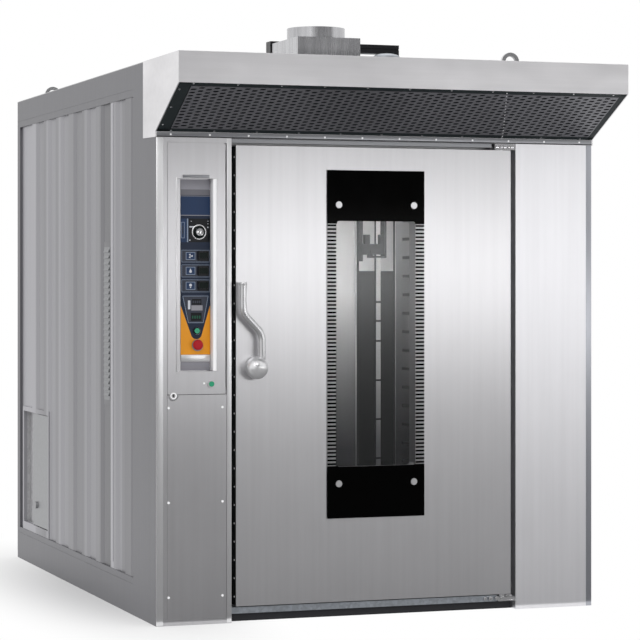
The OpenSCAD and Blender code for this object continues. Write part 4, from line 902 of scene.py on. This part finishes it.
@dataclass
class Door:
    """The door's skin, its black lock edge and the lever."""

    shop: Workshop
    left: float = 338.0
    low: float = 67.0
    high: float = 1952.0
    latch_gap: Flat = (1008.0, 1152.0)
    screw_step: float = 75.0
    screws: int = 25
    boss: Flat = (421.0, 1041.0)
    lever_out: float = 44.0
    lever_r: float = 14.0
    lever_bend: float = 70.0
    knob_r: float = 47.0
    knob_set: float = 8.0

    def build(self) -> None:
        """Makes the door."""
        self.shop.soften("door_shell", FRONT, 2.0)
        edge, x = Solid(), self.left
        for y0, y1, z0, z1 in ((3, 40, self.low + 4, self.high - 4),
                               (40, 72, self.low + 4, self.latch_gap[0]),
                               (40, 72, self.latch_gap[1], self.high - 4)):
            edge.block((x - 0.8, y0, z0), (x + 0.2, y1, z1), 0.3)
        edge.done(self.shop, "door_lock_edge", "door", RUBBER)
        # The screw heads' near-white is a painted glint.
        heads = Solid()
        for z in (self.low + 38 + k * self.screw_step for k in range(self.screws)):
            heads.rod((x - 0.6, 21, z), (x - 2.2, 21, z), (4.2, 3.0), 16)
        heads.done(self.shop, "lock_edge_screws", "door", GLINT_WHITE)
        self._lever()

    def _lever(self) -> None:
        """Bent tube lever with its end cap, the round boss that carries it and the boss's bolt."""
        x, z = self.boss
        corners = [(-66.0, 352.0), (-66.0, 226.0), (15.0, 141.0), (16.0, 50.0), (6.0, -8.0)]
        path = [(x + u, -self.lever_out, z + v) for u, v in rounded_path(corners, self.lever_bend, 12)]
        grip = Solid().tube(path, self.lever_r, 40)
        grip.turned((x - 66, -self.lever_out, z + 340), (0, 0, 1),
                    [(0, -1), (14.6, -1), (15.4, 1), (15.4, 8), (13.8, 11.2), (9, 12), (0, 12)], 48)
        grip.done(self.shop, "lever", "latch", LEVER, ["door_handle"], 40.0)
        ball, out = self.knob_r, self.knob_r - self.knob_set
        dome = [(ball * math.sin(a), out - ball * math.cos(a))
                for a in (math.radians(25 + 155 * k / 20) for k in range(20))]
        profile = [(0, 0.3), (30, 0.3), (32, 2), (32, 5), (22, 7), *dome, (0, out + ball)]
        Solid().turned((x - 6, 0, z + 2), FORWARD, profile, 72).done(
            self.shop, "lever_boss", "latch", BOSS, ["door_handle"], 40.0)
        bolt = [(0, -3), (10, -3), (10, 1), (8, 3.4), (4, 4.2), (0, 4.4)]
        Solid().turned((x - 17, -out - ball + 5.0, z + 20), (-0.25, -1, 0.5), bolt, 32).done(
            self.shop, "lever_bolt", "latch", POLISHED)


@dataclass
class Fittings:
    """Rails, a strip of painted shade on the right column's folded edge, and hinge bolts round the door
    opening.
    """

    shop: Workshop
    sheet: float = 3.0
    lip: Flat = (1980.0, 2003.0)
    fold_x: float = 1914.0
    stud_z: float = 1966.0
    studs: tuple[Flat, ...] = ((1500, 7.5), (1519, 5.5), (1535, 7.5), (1553, 5.5), (1568, 7.5))
    bolt_z: float = 50.0
    bolts: tuple[Flat, ...] = ((1446, 7.0), (1470, 9.0), (1500, 9.0), (1522, 7.0))

    def build(self) -> None:
        """Makes the fittings."""
        front, (low, high), end = -self.sheet, self.lip, CASING_W - 1
        for name, finish, corner, far_corner, round_by in (
                # a thin strip in front of the column's fold that paints its shade
                ("folded_edge_shade_strip", FOLD_SHADE, (self.fold_x, -0.7, 1), (end, 0.3, low - 1), 0.3),
                ("lip_cover_strip", RAIL, (1, front - 0.5, low + 0.5), (end, front + 0.1, high - 1), 0.2),
                ("lip_hem", SEAM, (1, front - 0.9, low + 0.5), (end, front - 0.4, low + 4.5), 0.0)):
            Solid().block(corner, far_corner, round_by).done(self.shop, name, "oven_body", finish)
        self._hinges()

    def _hinges(self) -> None:
        """Threaded studs with nuts on the upper bracket, and bolts and a turned knuckle below."""
        hinges = Solid()
        for x, r in self.studs:
            hinges.rod((x, 5.9, self.stud_z), (x, -2, self.stud_z), (r, r), 6, 0.6)
            hinges.rod((x, -1.8, self.stud_z), (x, -5, self.stud_z), (r / 2, r / 2), 20, 0.5)
        for x, r in self.bolts:
            hinges.rod((x, 9.0, self.bolt_z), (x, 1.5, self.bolt_z), (r, r), 24, 1.0)
        hinges.turned((1561, 22, 37), (0, 0, 1),
                      [(0, 0), (22, 0), (22, 4), (15.5, 5), (15.5, 16), (18.5, 17), (18.5, 22),
                       (15.5, 23), (15.5, 27), (0, 27)], 40)
        hinges.done(self.shop, "hinge_studs", "oven_body", POLISHED)


@dataclass
class Window:
    """Black enamel on the outer glass: two dark ends and a row of stripes on each side."""

    shop: Workshop
    x: Flat = (732.0, 1164.0)
    z: Flat = (413.0, 1857.0)
    clear: Flat = (630.0, 1635.0)
    notch: Flat = (3.0, 11.0)
    corner: float = 9.0
    band: float = 42.0
    bar: float = 39.0
    stripes: int = 64
    front: float = -6.0

    def build(self) -> None:
        """Makes the prints."""
        (x0, x1), (low, high) = self.x, self.clear
        face, back = self.front - 0.25, self.front + 0.05
        inner0, inner1, r = x0 + self.band, x1 - self.band, self.corner
        work = Solid()
        for z, end, way, notch in zip(self.clear, self.z, (-1, 1), self.notch):
            left = [(inner0 + r - r * math.sin(a), z + way * (notch - r + r * math.cos(a)))
                    for a in (math.radians(90 - 15 * k) for k in range(7))]
            right = [(inner0 + inner1 - x, height) for x, height in reversed(left)]
            work.plate([(x0, end), (x0, z), (inner0, z), *left, *right, (inner1, z), (x1, z), (x1, end)],
                       face, back)
        step = (high - low) / self.stripes
        for x in (x0, x1 - self.bar - 1):
            for z in (low + (k + 0.3) * step for k in range(self.stripes)):
                work.block((x, face, z), (x + self.bar, back, z + step * 0.48))
        work.done(self.shop, "window_print", "door", ENAMEL)


@dataclass
class Chamber:
    """The baking chamber's rear wall as it shows through the window."""

    shop: Workshop
    middle: float = 949.5
    half: float = 600.2
    front: float = 1325.0
    sheet: float = 1.5
    low: float = 75.0
    high: float = 1975.0
    patch: float = 1443.0
    seam: float = 400.0
    strip: float = 507.0
    hole_z: float = 1700.0
    hole: float = 175.0
    clips: tuple[float, ...] = (1296, 1206, 1111, 925, 740, 555, 370)
    claw: Flat = (701.0, 729.0)

    def _ends(self, side: int, first: float, last: float) -> Flat:
        """X limits of what lies between two distances left (-1) or right (1) of the middle."""
        return tuple(sorted((self.middle + side * first, self.middle + side * last)))

    def build(self) -> None:
        """Makes the wall of the lining's own depth from sheets, seams and cover strips."""
        sheet, sides, strips, seams, clips = (Solid() for _ in range(5))
        (x0, x1), y, back = self._ends(1, -self.seam, self.seam), self.front, self.front + self.sheet
        under, over = self.hole_z - self.hole, self.hole_z + self.hole
        for left, right, z0, z1 in ((x0, x1, self.low, under), (x0, x1, over, self.high),
                                    (x0, self.middle - self.hole, under, over),
                                    (self.middle + self.hole, x1, under, over)):
            sheet.block((left, y, z0), (right, back, z1))
        for side in (-1, 1):
            left, right = self._ends(side, self.seam, self.half)
            # The lower outer sheets take the near-black painted shade.
            sides.block((left, y, self.low), (right, back, self.patch))
            sheet.block((left, y, self.patch), (right, back, self.high))
            for into, first, last, proud in ((strips, self.seam - 6, self.seam, 4),
                                             (seams, self.seam, self.seam + 12, 3),
                                             (strips, self.strip - 11, self.strip + 11, 12),
                                             (seams, self.strip - 16, self.strip - 11, 8),
                                             (seams, self.half - 14, self.half - 6, 6),
                                             (strips, self.half - 6, self.half - 3, 6)):
                left, right = self._ends(side, first, last)
                into.block((left, y - proud, self.low), (right, y, self.high))
            x = self.middle + side * self.strip
            for z in self.clips:
                clips.block((x - 24, y - 13.5, z - 4), (x + 12, y - 12, z + 4))
        # The cover strips' matt white is a painted highlight.
        for name, solid, finish in (("sheet", sheet, AIR_WALL), ("sides", sides, SHADED_WALL),
                                    ("strips", strips, STRIP_GLINT), ("seams", seams, SEAM),
                                    ("clips", clips, SEAM)):
            solid.done(self.shop, "rear_wall_" + name, "oven_body", finish, ["rear_air_wall"])
        self._claws()

    def _claws(self) -> None:
        """Forked pads that the rack's top rail rests in, hung from the rotor's cross arm."""
        pads = Solid()
        for side in (-1, 1):
            for first, last, low, high in ((181, 202, 1484, 1835.5), (181, 309, 1514, 1562),
                                           (212, 236, 1562, 1604), (282, 306, 1562, 1604)):
                left, right = self._ends(side, first, last)
                pads.block((left, self.claw[0], low), (right, self.claw[1], high), 2.0)
        pads.done(self.shop, "claw_pads", "rotor", DULL)


@dataclass
class ControlColumn:
    """Folded sheets of the control column and the printed film with its controls."""

    shop: Workshop
    film: float = 43.0
    left: float = 115.0
    right: float = 240.0
    layer: float = 0.25
    back: float = 0.02
    dial: Flat = (193.0, 1597.0)
    tip: Flat = (182.0, 1183.0)
    start: Flat = (185.0, 1193.0)
    stop: Flat = (187.0, 1135.0)
    rows: tuple[Flat, ...] = ((1477, 1521), (1416, 1461), (1355, 1400))
    prints: dict[str, Solid] = field(default_factory=lambda: {name: Solid() for name in FILM})

    def build(self) -> None:
        """Makes the column."""
        self._dress_film()
        for node, finish, width, side in (
                ("control_cabinet", COLUMN, 1.2, POST), ("access_panel", COLUMN, 0.9, None),
                ("service_panel", COLUMN, 0.9, None), ("right_column", RIGHT_LIT, 1.4, POST),
                ("front_header", RAIL, 1.4, None)):
            self.shop.soften(node, finish, width, side)
        self._fields()
        self._switches()
        self._buttons()
        for name, solid in self.prints.items():
            solid.done(self.shop, "film_" + name, "service_door", FILM[name])
        self._blocks()
        self._rounds()

    def _dress_film(self) -> None:
        """Black frames and collars on the printed film's own node."""
        mesh = self.shop.nodes["control_overlay"].data
        mesh.materials.append(self.shop.material(FILM["black"]))
        proud = (self.film - 0.5 - CASING_FRONT) * MM
        mesh.polygons.foreach_set("material_index", [int(face.center.y < proud) for face in mesh.polygons])

    def _flat(self, colour: str, layer: int, outline: Sequence[Flat]) -> None:
        """One printed field on the film, a layer above those below it."""
        self.prints[colour].plate(outline, self.film - layer * self.layer, self.film + self.back)

    def _box(self, colour: str, layer: int, x0: float, x1: float, z0: float, z1: float) -> None:
        """One printed rectangle."""
        self._flat(colour, layer, [(x0, z0), (x1, z0), (x1, z1), (x0, z1)])

    def _outline(self, layer: int, x0: float, x1: float, z0: float, z1: float, line: float) -> None:
        """One printed square outline."""
        for a, b, c, d in ((x0, x1, z0, z0 + line), (x0, x1, z1 - line, z1),
                           (x0, x0 + line, z0 + line, z1 - line), (x1 - line, x1, z0 + line, z1 - line)):
            self._box("line", layer, a, b, c, d)

    def _stroke(self, first: Flat, last: Flat, width: float, layer: int) -> None:
        """A printed line between two points."""
        a, b = Vector(first), Vector(last)
        side = (b - a).normalized().orthogonal() * width / 2
        self._flat("line", layer, [tuple(a + side), tuple(a - side), tuple(b - side), tuple(b + side)])

    def _fields(self) -> None:
        """The film's grounds and the timer's row."""
        left, right = self.left, self.right
        for colour, layer, *limits in (
                ("grey", 1, left, right, 1774, 1812), ("middle", 1, left, right, 1748, 1771),
                ("charcoal", 1, left, right, 1745, 1748), ("blue", 2, left, right, 1667, 1743),
                ("navy", 1, left, right, 1400, 1664), ("navy", 1, left, right, 1296, 1400),
                ("black", 2, 149, right, 1556, 1652), ("blue", 2, left, 140, 1556, 1652),
                ("charcoal", 3, left + 6, 126, 1590, 1622), ("line", 3, 142, 147, 1556, 1652),
                ("white", 3, 152, 172, 1616, 1621)):
            self._box(colour, layer, *limits)
        self._outline(3, left + 2, 132, 1572, 1638, 2.0)
        for x, z, r in ((231, 1642, 1.8), (231, 1631, 1.8), (231, 1617, 2.8), (154, 1564, 2.6),
                        (160, 1641, 1.8)):
            self._flat("white", 3, ring_points((x, z), r, 0, 330, 11))

    def _switches(self) -> None:
        """The three switch rows with their pictograms."""
        left, right = self.left, self.right
        for row, (z0, z1) in enumerate(self.rows):
            middle = (z0 + z1) / 2
            self._box("charcoal", 2, left + 6, right - 3, z0, z1)
            self._outline(3, left + 4, right - 1, z0 - 3, z1 + 3, 1.6)
            self._box("blue", 3, 138, 176, z0 + 8, z1 - 7)
            self._outline(4, 137, 177, z0 + 7, z1 - 6, 2.2)
            self._pictogram(row, 157.0, middle + 0.5)
            self._box("black", 3, 186, 235, z0 + 3, z1 - 3)
            self._box("green", 4, 214, 230, middle - 1, middle + 1)

    def _pictogram(self, row: int, x: float, z: float) -> None:
        """A plain sign for a switch row.

        Args:
            row: 0 for a fan, 1 for a drop, 2 for a lamp.
            x: its middle to the right.
            z: its middle in height.
        """
        if row == 0:
            for turn in (90, 210, 330):
                self._flat("white", 4, [(x, z), *ring_points((x, z), 9, turn, turn + 55, 5)])
        elif row == 1:
            self._flat("white", 4, [(x, z + 10), *ring_points((x, z - 3), 5.5, 150, 390, 12)])
        else:
            self._flat("white", 4, ring_points((x, z + 2.5), 6, -60, 240, 14))
            self._box("white", 4, x - 2.6, x + 2.6, z - 9, z - 4.5)

    def _buttons(self) -> None:
        """Field that narrows down to the start button, on the orange ground, with two displays."""
        for edge, side in ((self.left, -1), (self.right, 1)):
            arc = ring_points(self.tip, 23, 270 + side * 73, 270, 7)
            round_start = ring_points(self.start, 15.5, 270, 270 + side * 180, 12)
            round_stop = ring_points(self.stop, 24.2, 90, 90 - side * 180, 16)
            self._flat("navy", 2, [(edge, 1300), *arc, *round_start, (self.start[0], 1300)])
            self._flat("orange", 1, [(edge, 1298), *arc, *round_stop, (self.stop[0], 1097), (edge, 1097)])
        self._flat("charcoal", 3, [(125, 1336), (149, 1227), (210, 1227), (231, 1336)])
        for first, last in (((124, 1336), (148, 1227)), ((211, 1227), (232, 1336)),
                            ((148, 1227), (211, 1227)), ((124, 1336), (232, 1336))):
            self._stroke(first, last, 2.0, 4)
        for colour, *limits in (("black", 163, 203, 1300, 1324), ("grey", 160, 208, 1277, 1298),
                                ("black", 158, 204, 1234, 1268), ("white", 146, 156, 1282, 1318)):
            self._box(colour, 4, *limits)
        for k in range(4):
            self._box("charcoal", 5, 166 + 9 * k, 172 + 9 * k, 1307, 1317)
            self._box("green", 5, 163 + 10 * k, 169 + 10 * k, 1244, 1256)

    def _blocks(self) -> None:
        """Strips, rims, seam and slot, each a block."""
        # The rims, and the corner and latch-side strips below, carry painted highlights of rounded edges.
        rims = Solid().block((83.5, -1.2, 1027), (87.5, 0.3, 1817), 0.5)
        rims.block((116, 40.0, 1068), (239, 43.2, 1096), 0.6)
        rims.done(self.shop, "recess_rims", "service_door", CORNER_GLINT)
        for name, body, finish, low, high, round_by in (
                ("corner_strip", "oven_body", CORNER_GLINT, (0.2, -0.9, 3), (29, 0.3, 1979), 0.4),
                ("latch_side_strip", "oven_body", CORNER_GLINT, (299.5, -0.6, 3), (318.6, 0.3, 1979), 0.3),
                # the recess's right side wall, near-white as a painted highlight
                ("recess_side", "service_door", GLINT_WHITE, (241, 1, 1031), (256, 43.2, 1814), 0.8),
                ("column_seam", "oven_body", SEAM, (47, -0.3, 935.2), (292, 2.6, 936.8), 0.0),
                ("lock_slot", "lock", RUBBER, (70.6, -3.35, 925.5), (73.4, -2.8, 938.5), 0.2),
                ("recess_visor", "service_door", RAIL, (112, -5, 1817), (224, 0.2, 1829), 1.5)):
            Solid().block(low, high, round_by).done(self.shop, name, body, finish)

    def _rounds(self) -> None:
        """Dial ring, the timer's black skirt and turned cap, lock ring and the column button's bezel."""
        x, y, z = dial = (self.dial[0], self.film, self.dial[1])
        ring = [(31, -0.1), (31, 1.2), (29.6, 2.0), (26.8, 2.0), (25.6, 1.2), (25.6, -0.1), (31, -0.1)]
        Solid().turned(dial, FORWARD, ring, 56).done(self.shop, "dial_ring", "service_door", KNOB)
        skirt = [(0, 0.35), (24.4, 0.35), (25.2, 1.5), (24, 6), (19, 8.5), (0, 8.5)]
        Solid().turned(dial, FORWARD, skirt, 56).done(
            self.shop, "timer_skirt", "timer", ROCKER, ["timer_knob"])
        cap = [(0, 8.2), (17, 8.2), (17.5, 9.5), (16, 16), (14.5, 17.5), (12, 16.5), (0, 16)]
        grip = Solid().turned(dial, FORWARD, cap, 48)
        grip.block((x - 4, y - 21, z - 14), (x + 4, y - 14, z + 14), 2.0, 3)
        grip.done(self.shop, "timer_cap", "timer", KNOB)
        ring = [(8.4, 2.6), (13.4, 2.6), (13.4, 3.6), (12.2, 4.8), (9.4, 4.8), (8.4, 3.8), (8.4, 2.6)]
        # The lock ring's near-white is a painted highlight.
        Solid().turned((72, 0, 932), FORWARD, ring, 36).done(self.shop, "lock_ring", "lock", GLINT_WHITE)
        ring = [(11.3, 0), (15, 0), (15, 2.5), (13.6, 5.6), (11.6, 6.0), (11.3, 0)]
        bezel = Solid().turned((232, 0, 978), FORWARD, ring, 40)
        # The white dot left of the green button is a painted glint on its bezel.
        bezel.rod((202, 0.2, 981), (202, -1.5, 981), (4.4, 3.0), 20)
        bezel.done(self.shop, "button_bezel", "service_door", GLINT_WHITE)


@dataclass
class Studio:
    """Camera, floor and plain soft light, in metres."""

    lens: float = 136.81
    eye: Point = (-3.598, -10.632, 1.408)
    heading: float = 19.3261
    drop: float = -0.065
    floor_half: float = 30.0

    def build(self) -> None:
        """Makes the studio."""
        scene = bpy.context.scene
        scene.view_settings.view_transform = "Standard"
        view = bpy.data.cameras.new("camera")
        view.lens, view.sensor_width, view.shift_y, view.clip_end = self.lens, 36.0, self.drop, 60.0
        scene.camera = self._placed("camera", view, self.eye)
        scene.camera.rotation_euler = (math.pi / 2, 0, -math.radians(self.heading))
        self._world(scene)
        self._floor()
        self._cloth()
        self._lamp("softbox", (2.6, -5.2, 1.52), (2.6, 0.0, 1.52), (5.6, 0.5), 34.0)
        self._lamp("key", (-3.5, -6.5, 5.5), (0.0, 0.0, 1.0), (4.0, 3.0), 90.0)
        self._lamp("top", (0.0, 0.0, 6.5), (0.0, 0.0, 0.0), (5.0, 5.0), 60.0)

    def _placed(self, name: str, data: Any, place: Point = (0.0, 0.0, 0.0)) -> bpy.types.Object:
        """An object of the studio, in the scene.

        Args:
            name: its name.
            data: its camera, lamp or mesh.
            place: where it stands.

        Returns:
            The object.
        """
        made = bpy.data.objects.new(name, data)
        made.location = place
        bpy.context.scene.collection.objects.link(made)
        return made

    def _staged(self, name: str, work: bmesh.types.BMesh, paint: bpy.types.Material) -> bpy.types.Object:
        """A sheet of the studio.

        Args:
            name: its name.
            work: its faces, in a bmesh that is freed.
            paint: its material.

        Returns:
            The sheet's object.
        """
        mesh = bpy.data.meshes.new(name)
        work.to_mesh(mesh)
        work.free()
        mesh.materials.append(paint)
        made = self._placed(name, mesh)
        return made

    def _cloth(self) -> None:
        """A dark cloth behind the camera and on the floor there, seen only by reflections."""
        work = bmesh.new()
        bmesh.ops.create_grid(work, x_segments=1, y_segments=1, size=1.0)
        spread = Matrix.Translation((2.0, -6.05, 0.012)) @ Matrix.Diagonal((9.0, 4.9, 1, 1))
        bmesh.ops.transform(work, matrix=spread, verts=work.verts)
        back = [edge for edge in work.edges if all(vert.co.y < -10 for vert in edge.verts)]
        bmesh.ops.translate(work, vec=(0, 0, 5.5),
                            verts=verts_in(bmesh.ops.extrude_edge_only(work, edges=back)["geom"]))
        paint = Shader("cloth_fabric")
        tone = paint.mix(paint.noise((3.0, 3.0, 3.0)), (0.27, 0.27, 0.27), (0.31, 0.31, 0.315))
        cloth = self._staged("cloth", work, paint.surface(Base_Color=tone, Roughness=0.9))
        cloth.visible_camera = cloth.visible_diffuse = cloth.visible_shadow = False
        cloth.visible_transmission = cloth.visible_volume_scatter = False

    def _world(self, scene: bpy.types.Scene) -> None:
        """A white room for the eye and mirrors, and a softer light on everything else."""
        room = Shader("room", world=True)
        strength = room.node("ShaderNodeMapRange", {}, {"Value": room.looked_at(), "To Min": 0.8})
        scene.world = room.end(room.node("ShaderNodeBackground", {},
                                         {"Color": (1.0, 1.0, 1.0), "Strength": strength}))

    def _floor(self) -> None:
        """A wide pale floor that runs into the white backdrop away from the oven and keeps its shadow."""
        paint = Shader("floor_paint")
        pale = paint.mix(paint.noise((0.4, 0.4, 0.4), 3.0), (0.90, 0.90, 0.905), (0.93, 0.93, 0.93))
        lit = paint.node("ShaderNodeBsdfDiffuse", {}, {"Color": pale})
        white = paint.node("ShaderNodeEmission", {}, {"Color": (1.0, 1.0, 1.0), "Strength": 1.0})
        beside = paint.node("ShaderNodeVectorMath", {"operation": "ADD"},
                            {0: paint.spot((1.0, 0.25, 1.0)), 1: (0.95, 0.0, 0.0)})
        far = paint.node("ShaderNodeVectorMath", {"operation": "LENGTH"}, {0: beside}, 1)
        share = paint.node("ShaderNodeMapRange", {"interpolation_type": "SMOOTHSTEP"},
                           {"Value": far, "From Min": 0.05, "From Max": 0.62})
        blend = paint.node("ShaderNodeMixShader", {}, {0: share * paint.looked_at(), 1: lit, 2: white})
        work = bmesh.new()
        bmesh.ops.create_grid(work, x_segments=1, y_segments=1, size=self.floor_half)
        self._staged("floor", work, paint.end(blend))

    def _lamp(self, name: str, place: Point, target: Point, size: Flat, power: float) -> None:
        """One area lamp.

        Args:
            name: its name.
            place: where it stands.
            target: what it points at.
            size: its width and height.
            power: its power in watts.
        """
        light = bpy.data.lights.new(name, "AREA")
        light.shape = "RECTANGLE"
        light.size, light.size_y = size
        light.energy = power
        lamp = self._placed(name, light, place)
        lamp.rotation_euler = (Vector(target) - Vector(place)).to_track_quat("-Z", "Y").to_euler()
        lamp.visible_camera = False


def main() -> None:
    """Builds the looks, piece by piece."""
    logging.basicConfig(level=logging.INFO, format="%(message)s")
    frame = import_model()
    Studio().build()
    shop = Workshop(frame)
    shop.dress_nodes()
    for part in (Hood(shop), Door(shop), Fittings(shop), Window(shop), Chamber(shop), ControlColumn(shop)):
        part.build()
        LOG.info("%s built", type(part).__name__)


if __name__ == "__main__":
    main()
